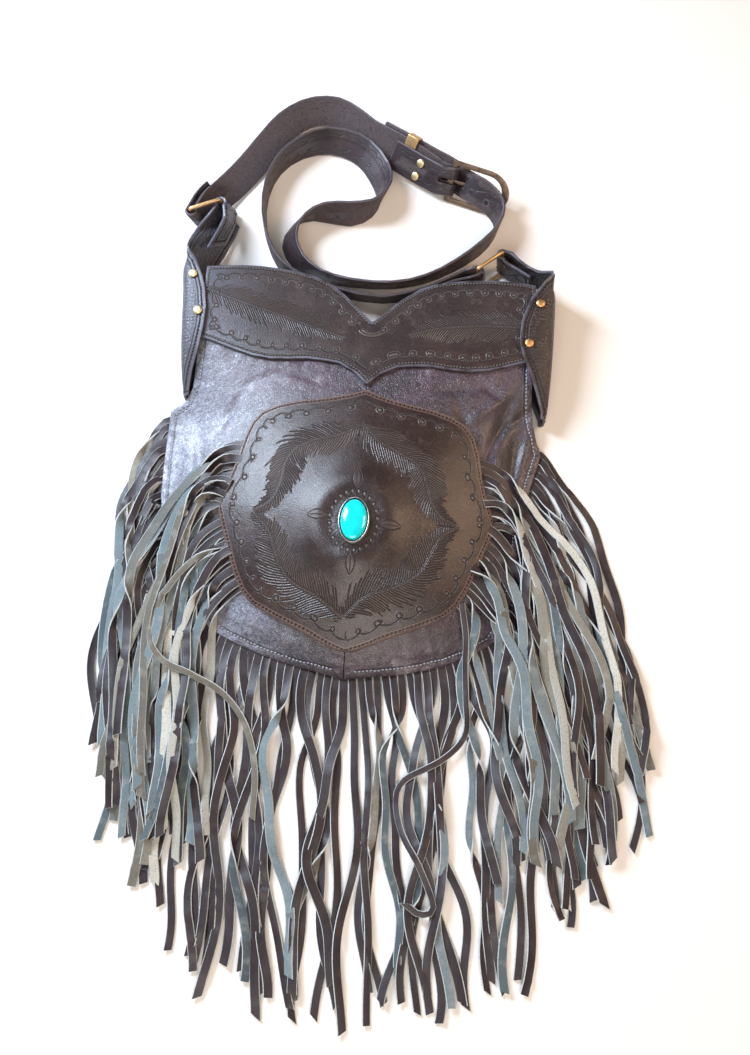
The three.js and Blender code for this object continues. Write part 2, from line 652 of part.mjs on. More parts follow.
// Buckle: plane through the bar, leaning with the strap
const buckleLean = rad(38);
const barAt = over(0.3325, 0.6475);
const reachDir = vec(0.955, -0.296, 0).normalize();
const buckleSide = vec(-reachDir.y, reachDir.x, 0).multiplyScalar(Math.sin(buckleLean));
buckleSide.addScaledVector(up, Math.cos(buckleLean));
const buckleHalf = strapWide / 2 + 1.4;
const buckleReach = 62;
const bandWide = 5;
const bandThick = 3;
const prongWide = 3.6;
const prongThick = 2.4;
const buckleZ = (buckleHalf + bandWide) * Math.cos(buckleLean) + (bandThick / 2) * Math.sin(buckleLean) + 0.1;
const buckleAt = vec(barAt.x, barAt.y, buckleZ);
const buckleFace = reachDir.clone().cross(buckleSide).normalize();
function onBuckle(u, v, w = 0) {
  const p = buckleAt.clone().addScaledVector(reachDir, u);
  return p.addScaledVector(buckleSide, v).addScaledVector(buckleFace, w);
}
{
  const outer = [];
  const inner = [];
  const full = buckleHalf + bandWide;
  const round = full * 1.15;
  const middle = buckleReach - round;
  const ends = 12;
  outer.push([-bandWide / 2, -full]);
  inner.push([bandWide / 2, -buckleHalf]);
  for (let k = 0; k <= ends; k += 1) {
    const a = rad(-90 + (180 * k) / ends);
    outer.push([middle + round * Math.cos(a), full * Math.sin(a)]);
    inner.push([middle + (round - bandWide * 1.5) * Math.cos(a), buckleHalf * Math.sin(a)]);
  }
  outer.push([-bandWide / 2, full]);
  inner.push([bandWide / 2, buckleHalf]);
  const n = outer.length;
  const points = [];
  const face = [];
  for (const w of [bandThick / 2, -bandThick / 2]) {
    outer.forEach(([u, v]) => points.push(onBuckle(u, v, w)));
    inner.forEach(([u, v]) => points.push(onBuckle(u, v, w)));
  }
  const low = 2 * n;
  for (let k = 0; k < n; k += 1) {
    const m = (k + 1) % n;
    face.push(k, m, n + m, k, n + m, n + k);
    face.push(low + k, low + n + m, low + m, low + k, low + n + k, low + n + m);
    face.push(k, low + k, low + m, k, low + m, m);
    face.push(n + k, n + m, low + n + m, n + k, low + n + m, low + n + k);
  }
  add('buckle_frame', solidOf(points, face), 'bronze');
}
{
  const main = strapRows(shortRun, 34);
  const turn = wrap(rings.left, 'strap', 112, 392, wrapRadius, 9);
  const flap = blended([
    [over(-0.905, 0.54, 0.7333), over(-0.83, 0.485, 0.05)],
    [over(-0.94, 0.45, 0.9333), over(-0.885, 0.425, 0.0833)],
    turn[0],
  ], 5).slice(0, 5);
  const barRound = [];
  const radius = bandThick / 2 + fit + strapThick / 2 + 1.4;
  for (let k = 0; k <= 6; k += 1) {
    const a = rad(112 - (k / 6) * 205);
    const c = onBuckle(radius * Math.cos(a), 0, -radius * Math.sin(a));
    barRound.push([
      c.clone().addScaledVector(buckleSide, strapWide / 2),
      c.clone().addScaledVector(buckleSide, -strapWide / 2),
    ]);
  }
  const back = strapRows([
    { x: 0.275, y: 0.6325, lean: -38, rise: 0.2667 }, { x: 0.185, y: 0.69, lean: -38, rise: 0.2 },
    { x: 0.105, y: 0.7425, lean: -38, rise: 0.1667 }, { x: 0.0225, y: 0.795, lean: -38, rise: 0.1667 },
  ], 6);
  strapSolid.short = sheet([...flap, ...turn, ...main, ...barRound, ...back], strapThick);
  strapFold.ring = flap.slice(1, 3);
  strapFold.returned = back;
}

// Prong: hooked round the buckle's bar, through a hole in the long strap, resting on the round end
{
  const seat = bandThick / 2 + fit + prongThick / 2;
  const bend = bandWide / 2 + fit + prongThick / 2;
  const soft = prongThick / 2;
  const hook = [[1, seat], [soft - bend, seat], [-bend, seat - soft], [-bend, soft - seat]];
  const line = [...hook, [soft - bend, -seat], [6, -seat], [buckleReach - 1, -seat]];
  const across = (half) => ([u, w]) => [onBuckle(u, half, w), onBuckle(u, -half, w)];
  add('buckle_prong', sheet(line.map(across(prongWide / 2)), prongThick), 'bronze');
  const loose = across(prongWide / 2 + 2 * fit);
  const slot = sheet([[-bend - 8, 0], [bend + 8, 0]].map(loose), 30);
  const hole = sheet([[-bend, -seat], [buckleReach, -seat]].map(loose), prongThick + 4 * fit);
  add('strap_long', fromManifold(toManifold(strapSolid.long).subtract(toManifold(hole))), 'tooled');
  add('strap_short', fromManifold(toManifold(strapSolid.short).subtract(toManifold(slot))), 'tooled');
}

// Side pieces: stiff leather folded round each end of the pouch, with a tab through the ring
const flapZ = rivetTall + 0.1 + stiff / 2;
const overYoke = 2 * (stiff + fit) - stiff / 2 + 1.1;
const flangeZ = (s) => look(frontRows, 's', 'rim', s) * bodyTall + fit + stiff / 2 + 0.4
  + (overYoke - fit - stiff / 2 - 0.4) * ease(0.69, 0.745, s);
const sideRows = {
  left: [
    { s: 0.657, edge: 0.91, wall: 0.93 }, { s: 0.672, edge: 0.908, wall: 0.94 },
    { s: 0.713, edge: 0.897, wall: 0.957 }, { s: 0.767, edge: 0.87, wall: 0.97 },
    { s: 0.815, edge: 0.856, wall: 0.981 }, { s: 0.865, edge: 0.853, wall: 0.989 },
    { s: 0.913, edge: 0.87, wall: 0.997 }, { s: 0.944, edge: 0.891, wall: 1.005 },
    { s: 0.97, edge: 0.916, wall: 1.014 },
  ],
  right: [
    { s: 0.657, edge: 0.888, wall: 0.91 }, { s: 0.672, edge: 0.886, wall: 0.916 },
    { s: 0.713, edge: 0.853, wall: 0.924 }, { s: 0.754, edge: 0.815, wall: 0.93 },
    { s: 0.795, edge: 0.774, wall: 0.935 }, { s: 0.83, edge: 0.755, wall: 0.938 },
    { s: 0.88, edge: 0.76, wall: 0.94 }, { s: 0.913, edge: 0.782, wall: 0.94 },
    { s: 0.944, edge: 0.804, wall: 0.94 }, { s: 0.967, edge: 0.837, wall: 0.938 },
  ],
};
// Upper part of each side piece up to its ring: front corner, back corner and how far it bulges
const tabRows = {
  left: [
    { f: [-0.865, -0.0175, 1.8], b: [-0.82, 0.055, 0.12], out: 0.4 },
    { f: [-0.895, 0.01, 1.8333], b: [-0.775, 0.165, 0.12], out: 0.2333 },
    { f: [-0.9125, 0.0375, 1.8333], b: [-0.74, 0.27, 0.12], out: 0.1 },
    { f: [-0.9175, 0.085, 1.6333], b: [-0.725, 0.335, 0.1267], out: 0.0333 },
    { f: [-0.915, 0.14, 1.4], b: [-0.7425, 0.355, 0.14], out: 0 },
    { f: [-0.9025, 0.19, 1.2667], b: [-0.78, 0.35, 0.16], out: 0 },
    { f: [-0.8825, 0.24, 1.2], b: [-0.81, 0.335, 0.1667], out: 0 },
    { f: [-0.859, 0.285, 1.1733], b: [-0.815, 0.3275, 0.1733], out: 0 },
  ],
  right: [
    { f: [0.8025, -0.0225, 1.8], b: [0.8, -0.0125, 0.12], out: 0.3333 },
    { f: [0.835, 0.01, 1.8333], b: [0.83, 0.025, 0.12], out: 0.1167 },
    { f: [0.8375, 0.04, 1.7], b: [0.835, 0.055, 0.1333], out: 0.0333 },
    { f: [0.81, 0.06, 1.45], b: [0.82, 0.075, 0.1533], out: 0 },
    { f: [0.7775, 0.0775, 1.25], b: [0.79, 0.09, 0.1667], out: 0 },
    { f: [0.73, 0.1075, 1.18], b: [0.7425, 0.1175, 0.1733], out: 0 },
    { f: [0.685, 0.1425, 1.1733], b: [0.7, 0.15, 0.1733], out: 0 },
    { f: [0.65, 0.1825, 1.1733], b: [0.665, 0.19, 0.1733], out: 0 },
  ],
};
const returnRows = {
  left: [
    { f: [-0.775, 0.29, 1.15], b: [-0.745, 0.335, 0.2167] },
    { f: [-0.79, 0.225, 1.2], b: [-0.75, 0.29, 0.3667] },
    { f: [-0.81, 0.15, 1.3], b: [-0.755, 0.23, 0.5333] },
    { f: [-0.83, 0.0825, 1.3667], b: [-0.7625, 0.17, 0.6833] },
  ],
  right: [
    { f: [0.6225, 0.125, 1.1733], b: [0.64, 0.13, 0.1733] },
    { f: [0.67, 0.0975, 1.1733], b: [0.685, 0.105, 0.1733] },
    { f: [0.74, 0.0525, 1.1833], b: [0.755, 0.0625, 0.1833] },
  ],
};
const tabWrap = { left: [200, -70], right: [50, 235] };
const tabRadius = wire / 2 + fit + stiff / 2 + 0.6;
const sideGrid = {};

// One line of a side piece from its front edge round to its back edge
function sectionOf(front, back, outward, bulge, box) {
  const line = [];
  const mid = front.clone().add(back).multiplyScalar(0.5);
  const half = front.clone().sub(back).multiplyScalar(0.5);
  for (const angle of [90, 66, 45, 20, -20, -45, -66, -90]) {
    const a = rad(angle);
    const tall = Math.sign(Math.sin(a)) * Math.pow(Math.abs(Math.sin(a)), 2 / box);
    const wide = Math.pow(Math.max(0, Math.cos(a)), 2 / box);
    line.push(mid.clone().addScaledVector(half, tall).addScaledVector(outward, bulge * wide));
  }
  return line;
}

for (const side of ['left', 'right']) {
  const sign = side === 'left' ? -1 : 1;
  const rows = sideRows[side].map((row) => ({
    f: vec(sign * row.edge * bagHalf, height(row.s), flangeZ(row.s)),
    b: vec(sign * row.edge * bagHalf, height(row.s), flapZ),
    out: (row.wall - row.edge) * bagHalf,
    box: 3.8,
  }));
  tabRows[side].forEach((row, k) => rows.push({
    f: over(...row.f),
    b: over(...row.b),
    out: row.out * strapWide,
    box: Math.max(2, 3.2 - 0.5 * k),
  }));
  const [from, to] = tabWrap[side];
  for (const [f, b] of wrap(rings[side], 'tab', from, to, tabRadius, 6)) {
    rows.push({ f, b, out: 0, box: 2 });
  }
  returnRows[side].forEach((row) => rows.push({ f: over(...row.f), b: over(...row.b), out: 0, box: 2 }));
  const grid = rows.map((row, i) => {
    const next = rows[Math.min(rows.length - 1, i + 1)];
    const prev = rows[Math.max(0, i - 1)];
    const run = next.f.clone().add(next.b).sub(prev.f).sub(prev.b);
    const outward = row.f.clone().sub(row.b).cross(run).normalize().multiplyScalar(-sign);
    if (i < sideRows[side].length) {
      outward.set(sign, 0, 0);
    }
    return sectionOf(row.f, row.b, outward, row.out, row.box);
  });
  sideGrid[side] = grid;
  add(`gusset_${side}`, sheet(grid, stiff), 'tooled');
}

// Keeper: brass band round the short strap and the free end beside it
{
  const at = over(0.109, 0.806);
  const run = vec(0.853, -0.522, 0).normalize();
  const left = vec(-run.y, run.x, 0);
  const high = left.clone().multiplyScalar(Math.sin(buckleLean)).addScaledVector(up, Math.cos(buckleLean));
  const across = run.clone().cross(high).normalize();
  const wall = 1.1;
  const halfTall = strapWide / 2 + 2;
  const halfDeep = strapThick + 1.2;
  at.z = (strapWide / 2) * Math.cos(buckleLean) + (strapThick / 2) * Math.sin(buckleLean);
  at.z += 0.1733 * strapWide;
  const points = [];
  for (const u of [-0.22 * strapWide, 0.22 * strapWide]) {
    for (const grow of [wall, 0]) {
      for (const [a, b] of [[-1, -1], [1, -1], [1, 1], [-1, 1]]) {
        const p = at.clone().addScaledVector(run, u);
        p.addScaledVector(high, a * (halfTall + grow)).addScaledVector(across, b * (halfDeep + grow));
        points.push(p);
      }
    }
  }
  const face = [];
  for (let k = 0; k < 4; k += 1) {
    const n = (k + 1) % 4;
    face.push(k, n, 4 + n, k, 4 + n, 4 + k);
    face.push(8 + k, 12 + n, 8 + n, 8 + k, 12 + k, 12 + n);
    face.push(k, 8 + k, 8 + n, k, 8 + n, n);
    face.push(4 + k, 4 + n, 12 + n, 4 + k, 12 + n, 12 + k);
  }
  add('strap_keeper', outward(points, face), 'brass');
}

// Rivets: low domed heads seated a hair above the leather
function rivet(name, at, facing, finish = 'brass') {
  const n = facing.clone().normalize();
  const a = Math.abs(n.x) > 0.9 ? vec(0, 1, 0) : vec(1, 0, 0);
  const e = a.sub(n.clone().multiplyScalar(a.dot(n))).normalize();
  const f = n.clone().cross(e);
  const count = 10;
  const points = [];
  const face = [];
  const lines = [[1, 0], [1, 0.28], [0.72, 0.8]];
  for (const [wide, tall] of lines) {
    for (let k = 0; k < count; k += 1) {
      const t = (2 * Math.PI * k) / count;
      const p = at.clone().addScaledVector(n, tall * rivetTall);
      p.addScaledVector(e, (wide * rivetWide * Math.cos(t)) / 2);
      p.addScaledVector(f, (wide * rivetWide * Math.sin(t)) / 2);
      points.push(p);
    }
  }
  points.push(at.clone(), at.clone().addScaledVector(n, rivetTall));
  for (let k = 0; k < count; k += 1) {
    const m = (k + 1) % count;
    for (let r = 0; r < lines.length - 1; r += 1) {
      const c = r * count;
      face.push(c + k, c + m, c + count + m, c + k, c + count + m, c + count + k);
    }
    face.push(m, k, lines.length * count);
    face.push((lines.length - 1) * count + k, (lines.length - 1) * count + m, lines.length * count + 1);
  }
  add(name, solidOf(points, face), finish);
}

// Point and outward direction on the face of a gusset, found at shares along its front flange
const flangeAt = (side, x, s) => {
  const step = 0.01;
  const slope = (flangeZ(s + step) - flangeZ(s - step)) / (2 * step * pouchTall);
  const sign = side === 'left' ? -1 : 1;
  return { at: vec(x, height(s), flangeZ(s) + stiff / 2 + fit), facing: vec(sign * 0.06, -slope, 1) };
};
const flangeRivets = {
  left: [{ across: -0.9429, s: 0.9487 }, { across: -0.894, s: 0.8513 }],
  right: [{ across: 0.8533, s: 0.9282 }, { across: 0.8043, s: 0.8231 }],
};
for (const [side, spots] of Object.entries(flangeRivets)) {
  spots.forEach(({ across, s }, k) => {
    const { at, facing } = flangeAt(side, across * bagHalf, s);
    rivet(`rivet_front_${side}_${k + 1}`, at, facing);
    rivet(`rivet_back_${side}_${k + 1}`, vec(at.x, at.y, rivetTall), vec(0, 0, -1));
  });
}

// Rivets through the folded ends: a place on the leather's middle plane given by its four corners
function foldRivet(name, rows, share, rise, side) {
  const [[a, b], [c, d]] = rows;
  const start = a.clone().lerp(b, rise);
  const end = c.clone().lerp(d, rise);
  const facing = end.clone().sub(start).cross(b.clone().sub(a)).setLength(side);
  const at = start.lerp(end, share).addScaledVector(facing, strapThick / 2 + fit + 0.1);
  rivet(name, at, facing);
}
const returnPlane = (side, k) => {
  const rows = returnRows[side].slice(k, k + 2);
  return rows.map((row) => [over(...row.f), over(...row.b)]);
};
foldRivet('rivet_tab_left_1', returnPlane('left', 0), 0.7, 0.45, -1);
foldRivet('rivet_tab_left_2', returnPlane('left', 2), 0.35, 0.5, -1);
foldRivet('rivet_tab_right_1', returnPlane('right', 0), 0.75, 0.45, 1);
foldRivet('rivet_tab_right_2', returnPlane('right', 1), 0.7, 0.5, 1);

foldRivet('rivet_strap_ring', strapFold.ring, 0.5, 0.4, 1);
foldRivet('rivet_strap_buckle_1', strapFold.returned.slice(2, 4), 0.5, 0.28, 1);
foldRivet('rivet_strap_buckle_2', strapFold.returned.slice(2, 4), 0.5, 0.75, 1);

// Fringe: locks of cut strips joined to a head strip that is sewn into the seam
function ribbon(path, wide) {
  return path.map((p, i) => {
    const run = path[Math.min(path.length - 1, i + 1)].clone().sub(path[Math.max(0, i - 1)]);
    const across = vec(-run.y, run.x, 0).normalize();
    return [p.clone().addScaledVector(across, wide / 2), p.clone().addScaledVector(across, -wide / 2)];
  });
}

const lockSteps = [0, 0.07, 0.12, 0.2, 0.36, 0.6, 1];

// A fringe: root places along a path, where each lock starts, leaves and ends
function fringe(name, heads, locks) {
  let solid = toManifold(heads);
  for (const lock of locks) {
    const curve = new THREE.CubicBezierCurve3(lock.p0, lock.p1, lock.p2, lock.p3);
    const path = lockSteps.map((t) => {
      const p = curve.getPoint(t);
      return p.setZ(lock.rest(p, t));
    });
    solid = solid.add(toManifold(sheet(ribbon(path, lock.wide), lock.thick, 0, up)));
  }
  add(name, fromManifold(solid), 'suede');
}

const headThick = 1.2;
const headZ = leather + fit + headThick / 2;
const floorZ = headThick / 2 + 0.05;

// Head strip between the panels, following part of a seam path
function seamHead(path, from, to, steps, out, into) {
  const grid = [];
  for (let k = 0; k <= steps; k += 1) {
    const u = from + (k / steps) * (to - from);
    const p = along(path, u);
    const run = along(path, Math.min(1, u + 0.01)).sub(along(path, Math.max(0, u - 0.01))).normalize();
    const outwards = vec(run.y, -run.x, 0);
    grid.push([
      p.clone().addScaledVector(outwards, out).setZ(headZ),
      p.clone().addScaledVector(outwards, -into).setZ(headZ),
    ]);
  }
  return grid;
}

const seamLine = (side, part) => {
  const sign = side === 'left' ? -1 : 1;
  return seamPath[side][part].map(([x, t]) => vec(sign * x * bagHalf, height(t), 0));
};

// Lock of a fringe from a place on a path: `aim` is how it leaves, `end` where its tip lies,
// `fall` where it comes from just before its tip
function lockAt(path, u, aim, end, fall, wide, bed) {
  const p = along(path, u);
  const run = along(path, Math.min(1, u + 0.01)).sub(along(path, Math.max(0, u - 0.01))).normalize();
  const out = vec(run.y, -run.x, 0);
  const p1 = p.clone().addScaledVector(out, aim);
  return {
    p0: p.clone().addScaledVector(out, -4.5),
    p1,
    p2: end.clone().add(fall),
    p3: end,
    wide,
    thick: headThick,
    rest: (q, t) => bed + (headZ - bed) * (1 - ease(0.12, 0.2, t)),
  };
}

// Ends of the locks of each fringe by share along its head: tip place and how it falls there,
// as shares of the fringe length
const fringeRows = {
  side_left: [
    { u: 0, x: -0.73, y: -0.7, fx: -0.07, fy: 0.5 }, { u: 0.35, x: -0.69, y: -0.87, fx: -0.07, fy: 0.45 },
    { u: 0.7, x: -0.58, y: -1.04, fx: -0.06, fy: 0.42 }, { u: 1, x: -0.51, y: -1.18, fx: -0.05, fy: 0.42 },
  ],
  side_right: [
    { u: 0, x: 0.97, y: -0.6, fx: -0.07, fy: 0.42 }, { u: 0.35, x: 0.9, y: -0.86, fx: -0.08, fy: 0.42 },
    { u: 0.7, x: 0.8, y: -1.05, fx: -0.08, fy: 0.42 }, { u: 1, x: 0.69, y: -1.2, fx: -0.07, fy: 0.42 },
  ],
  bottom: [
    { u: 0, x: -0.4, y: -1.4, fx: -0.02, fy: 0.4 }, { u: 0.5, x: 0.1, y: -1.5, fx: -0.04, fy: 0.4 },
    { u: 1, x: 0.62, y: -1.38, fx: -0.05, fy: 0.4 },
  ],
  shield_left: [
    { u: 0, x: -0.66, y: -0.72, fx: -0.05, fy: 0.5 }, { u: 0.5, x: -0.55, y: -0.95, fx: -0.05, fy: 0.5 },
    { u: 1, x: -0.4, y: -1.1, fx: -0.05, fy: 0.45 },
  ],
  shield_right: [
    { u: 0, x: 0.82, y: -0.75, fx: -0.05, fy: 0.5 }, { u: 0.5, x: 0.68, y: -0.95, fx: -0.04, fy: 0.5 },
    { u: 1, x: 0.52, y: -1.12, fx: -0.03, fy: 0.45 },
  ],
};

function locksOf(name, path, from, to, count, aim, bed) {
  const locks = [];
  for (let k = 0; k < count; k += 1) {
    const share = k / (count - 1);
    const table = fringeRows[name];
    const part = (column) => look(table, 'u', column, share) * fringeLong;
    const end = vec(part('x'), part('y'), 0);
    const fall = vec(part('fx'), part('fy'), 0);
    const reach = aim * fringeLong;
    const u = from + (0.02 + 0.96 * share) * (to - from);
    const span = along(path, to).distanceTo(along(path, from)) / count;
    locks.push(lockAt(path, u, reach, end, fall, Math.min(14, span * 0.82), bed + (k % 2) * 0.2));
  }
  return locks;
}

const leftSide = seamLine('left', 'side').slice(0, 8).reverse();
const rightSide = seamLine('right', 'side').slice(0, 8);
const bottomSeam = [...seamLine('left', 'bottom').reverse(), ...seamLine('right', 'bottom').slice(1)];
fringe(
  'fringe_side_left',
  sheet(seamHead(leftSide, 0.01, 0.96, 10, -1.1, 7), headThick, 0, up),
  locksOf('side_left', leftSide, 0.01, 0.96, 10, 0.1164, floorZ),
);
fringe(
  'fringe_side_right',
  sheet(seamHead(rightSide, 0.96, 0.03, 10, -1.1, 7), headThick, 0, up),
  locksOf('side_right', rightSide, 0.96, 0.03, 10, 0.0727, floorZ),
);
fringe(
  'fringe_bottom',
  sheet(seamHead(bottomSeam, 0.03, 0.965, 14, -1.1, 7), headThick, 0, up),
  locksOf('bottom', bottomSeam, 0.03, 0.965, 15, 0.1236, floorZ),
);

// Shield fringe: its head lies under the shield's edge, its locks fall over the panel and the seam
const seamAll = [...seamLine('left', 'bottom').reverse(), ...seamLine('right', 'bottom').slice(1),
  ...seamLine('right', 'side').slice(1), ...seamLine('left', 'side').reverse()];
function insidePouch(x, y) {
  let inside = false;
  for (let i = 0, j = seamAll.length - 1; i < seamAll.length; j = i, i += 1) {
    const a = seamAll[i];
    const b = seamAll[j];
    if ((a.y > y) !== (b.y > y) && x < ((b.x - a.x) * (y - a.y)) / (b.y - a.y) + a.x) {
      inside = !inside;
    }
  }
  return inside;
}
const overFringe = headZ + headThick + fit + 0.4;
const bedUnder = (x, y) => (insidePouch(x, y) ? frontZ(x, y) + 5 * fit + headThick / 2 : overFringe);
// Highest bed near a place, so that a lock spans dips and clears edges
function bedNear(p, reach) {
  let top = bedUnder(p.x, p.y);
  for (let k = 0; k < 8; k += 1) {
    const a = (Math.PI * k) / 4;
    top = Math.max(top, bedUnder(p.x + reach * Math.cos(a), p.y + reach * Math.sin(a)));
  }
  return top;
}
for (const side of ['left', 'right']) {
  const sign = side === 'left' ? -1 : 1;
  const rows = shieldRows.slice(8, 16);
  const path = rows.map(([x, y]) => vec(sign * x * shieldHalf, y * shieldTall, 0));
  const head = [];
  for (let k = 0; k <= 10; k += 1) {
    const p = along(path, k / 10);
    const inner = p.clone().multiplyScalar(0.93);
    const outer = p.clone().multiplyScalar(0.985);
    head.push([
      outer.setZ(frontZ(outer.x, outer.y) + 2 * fit + headThick / 2 + 0.2),
      inner.setZ(frontZ(inner.x, inner.y) + 2 * fit + headThick / 2 + 0.2),
    ]);
  }
  const locks = [];
  const count = 8;
  for (let k = 0; k < count; k += 1) {
    const share = k / (count - 1);
    const table = fringeRows[`shield_${side}`];
    const part = (column) => look(table, 'u', column, share) * fringeLong;
    const p = along(path, 0.02 + 0.96 * share);
    const out = p.clone().normalize();
    const inner = p.clone().multiplyScalar(0.955);
    locks.push({
      p0: inner,
      p1: p.clone().addScaledVector(out, 0.1527 * fringeLong),
      p2: vec(part('x') + part('fx'), part('y') + part('fy'), 0),
      p3: vec(part('x'), part('y'), 0),
      wide: 10,
      thick: headThick,
      rest: (q, t) => (t < 0.1
        ? frontZ(q.x, q.y) + 2 * fit + headThick / 2 + 0.2
        : bedNear(q, 12 * ease(0.1, 0.32, t)) + (k % 2) * 0.3),
    });
  }
  fringe(`fringe_shield_${side}`, sheet(head, headThick, 0, up), locks);
}

export default group;
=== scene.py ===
import bmesh
import bpy
import math
import random
import numpy as np
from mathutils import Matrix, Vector, bvhtree, kdtree


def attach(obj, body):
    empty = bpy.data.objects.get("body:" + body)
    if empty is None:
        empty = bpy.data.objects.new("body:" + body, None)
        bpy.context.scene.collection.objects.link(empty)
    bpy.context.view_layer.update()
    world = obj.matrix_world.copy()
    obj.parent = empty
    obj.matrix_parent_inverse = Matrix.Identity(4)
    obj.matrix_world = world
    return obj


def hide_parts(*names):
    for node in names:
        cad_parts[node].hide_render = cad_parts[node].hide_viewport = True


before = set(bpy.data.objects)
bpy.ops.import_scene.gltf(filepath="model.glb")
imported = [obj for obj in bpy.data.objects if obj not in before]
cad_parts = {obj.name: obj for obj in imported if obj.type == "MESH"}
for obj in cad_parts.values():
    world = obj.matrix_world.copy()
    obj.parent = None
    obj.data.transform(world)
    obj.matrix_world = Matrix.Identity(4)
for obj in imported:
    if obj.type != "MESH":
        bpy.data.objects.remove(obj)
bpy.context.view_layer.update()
bpy.ops.object.select_all(action="DESELECT")


# Camera: the bag lies on its back and is seen from above, a little from the fringe's end.
target = Vector((0.0175, -0.0014, 0.020))
azimuth, elevation, distance = math.radians(4.3), math.radians(70), 0.99
level = math.cos(elevation)
back = Vector((math.sin(azimuth) * level, -math.cos(azimuth) * level, math.sin(elevation)))
bpy.ops.object.camera_add(location=target + back * distance)
camera = bpy.context.object
camera.name = "camera"
camera.rotation_mode = "QUATERNION"
camera.rotation_quaternion = back.to_track_quat("Z", "Y")
camera.data.lens = 37.5
camera.data.sensor_width = 36
camera.data.clip_start = 0.05
bpy.context.scene.camera = camera


# Light: a cool window at the upper left whose glare lies on what leans to the left, a warm lamp low on
# the right, a wide soft light from the camera's side and a pale room.
def soft_light(name, place, size, power, colour):
    bpy.ops.object.light_add(type="AREA", location=place)
    lamp = bpy.context.object
    lamp.name = name
    lamp.data.shape = "RECTANGLE"
    lamp.data.size, lamp.data.size_y = size
    lamp.data.energy = power
    lamp.data.color = colour
    lamp.rotation_mode = "QUATERNION"
    lamp.rotation_quaternion = (Vector(place) - target).to_track_quat("Z", "Y")


soft_light("window", (-0.82, 0.60, 0.86), (0.42, 0.6), 29, (0.72, 0.84, 1.0))
soft_light("warm_side", (0.95, 0.30, 0.75), (0.5, 0.5), 6, (1.0, 0.70, 0.46))
soft_light("overhead", (0.1, -1.25, 1.5), (1.4, 1.0), 24, (1.0, 0.94, 0.88))
room = bpy.data.worlds.new("room")
room.use_nodes = True
room.node_tree.nodes["Background"].inputs["Color"].default_value = (1.0, 0.96, 0.93, 1)
room.node_tree.nodes["Background"].inputs["Strength"].default_value = 0.12
bpy.context.scene.world = room
bpy.context.scene.view_settings.view_transform = "Standard"


# Floor: a plain pale sheet that the bag lies on. Its finish, as all others, is written as sums on
# sockets: a Sum is one value of a material, a Finish the material itself, with its sizes in metres.
class Sum:
    def __init__(self, finish, socket):
        self.finish = finish
        self.socket = socket

    def work(self, operation, *values):
        sockets = dict(enumerate((self, *values)))
        return self.finish.node("ShaderNodeMath", {"operation": operation}, sockets)[0]

    def __add__(self, other):
        return self.work("ADD", other)

    def __sub__(self, other):
        return self.work("SUBTRACT", other)

    def __rsub__(self, other):
        return (self * -1) + other

    def __mul__(self, other):
        return self.work("MULTIPLY", other)

    def __truediv__(self, other):
        return self.work("DIVIDE", other)

    def __abs__(self):
        return self.work("ABSOLUTE")

    def __mod__(self, other):
        return self.work("FLOORED_MODULO", other)

    __radd__ = __add__
    __rmul__ = __mul__

    def power(self, other):
        return self.work("POWER", other)

    def most(self, other):
        return self.work("MAXIMUM", other)

    def rise(self, start, end):
        """0 before start and 1 past end, eased between them; start may be the greater."""
        sockets = {"Value": self, "From Min": min(start, end), "From Max": max(start, end)}
        step = self.finish.node("ShaderNodeMapRange", {"interpolation_type": "SMOOTHSTEP"}, sockets)[0]
        return step if start < end else 1 - step

    def band(self, middle, half, soft):
        """1 within half of the middle, falling to 0 over soft."""
        return abs(self - middle).rise(half + soft, half)


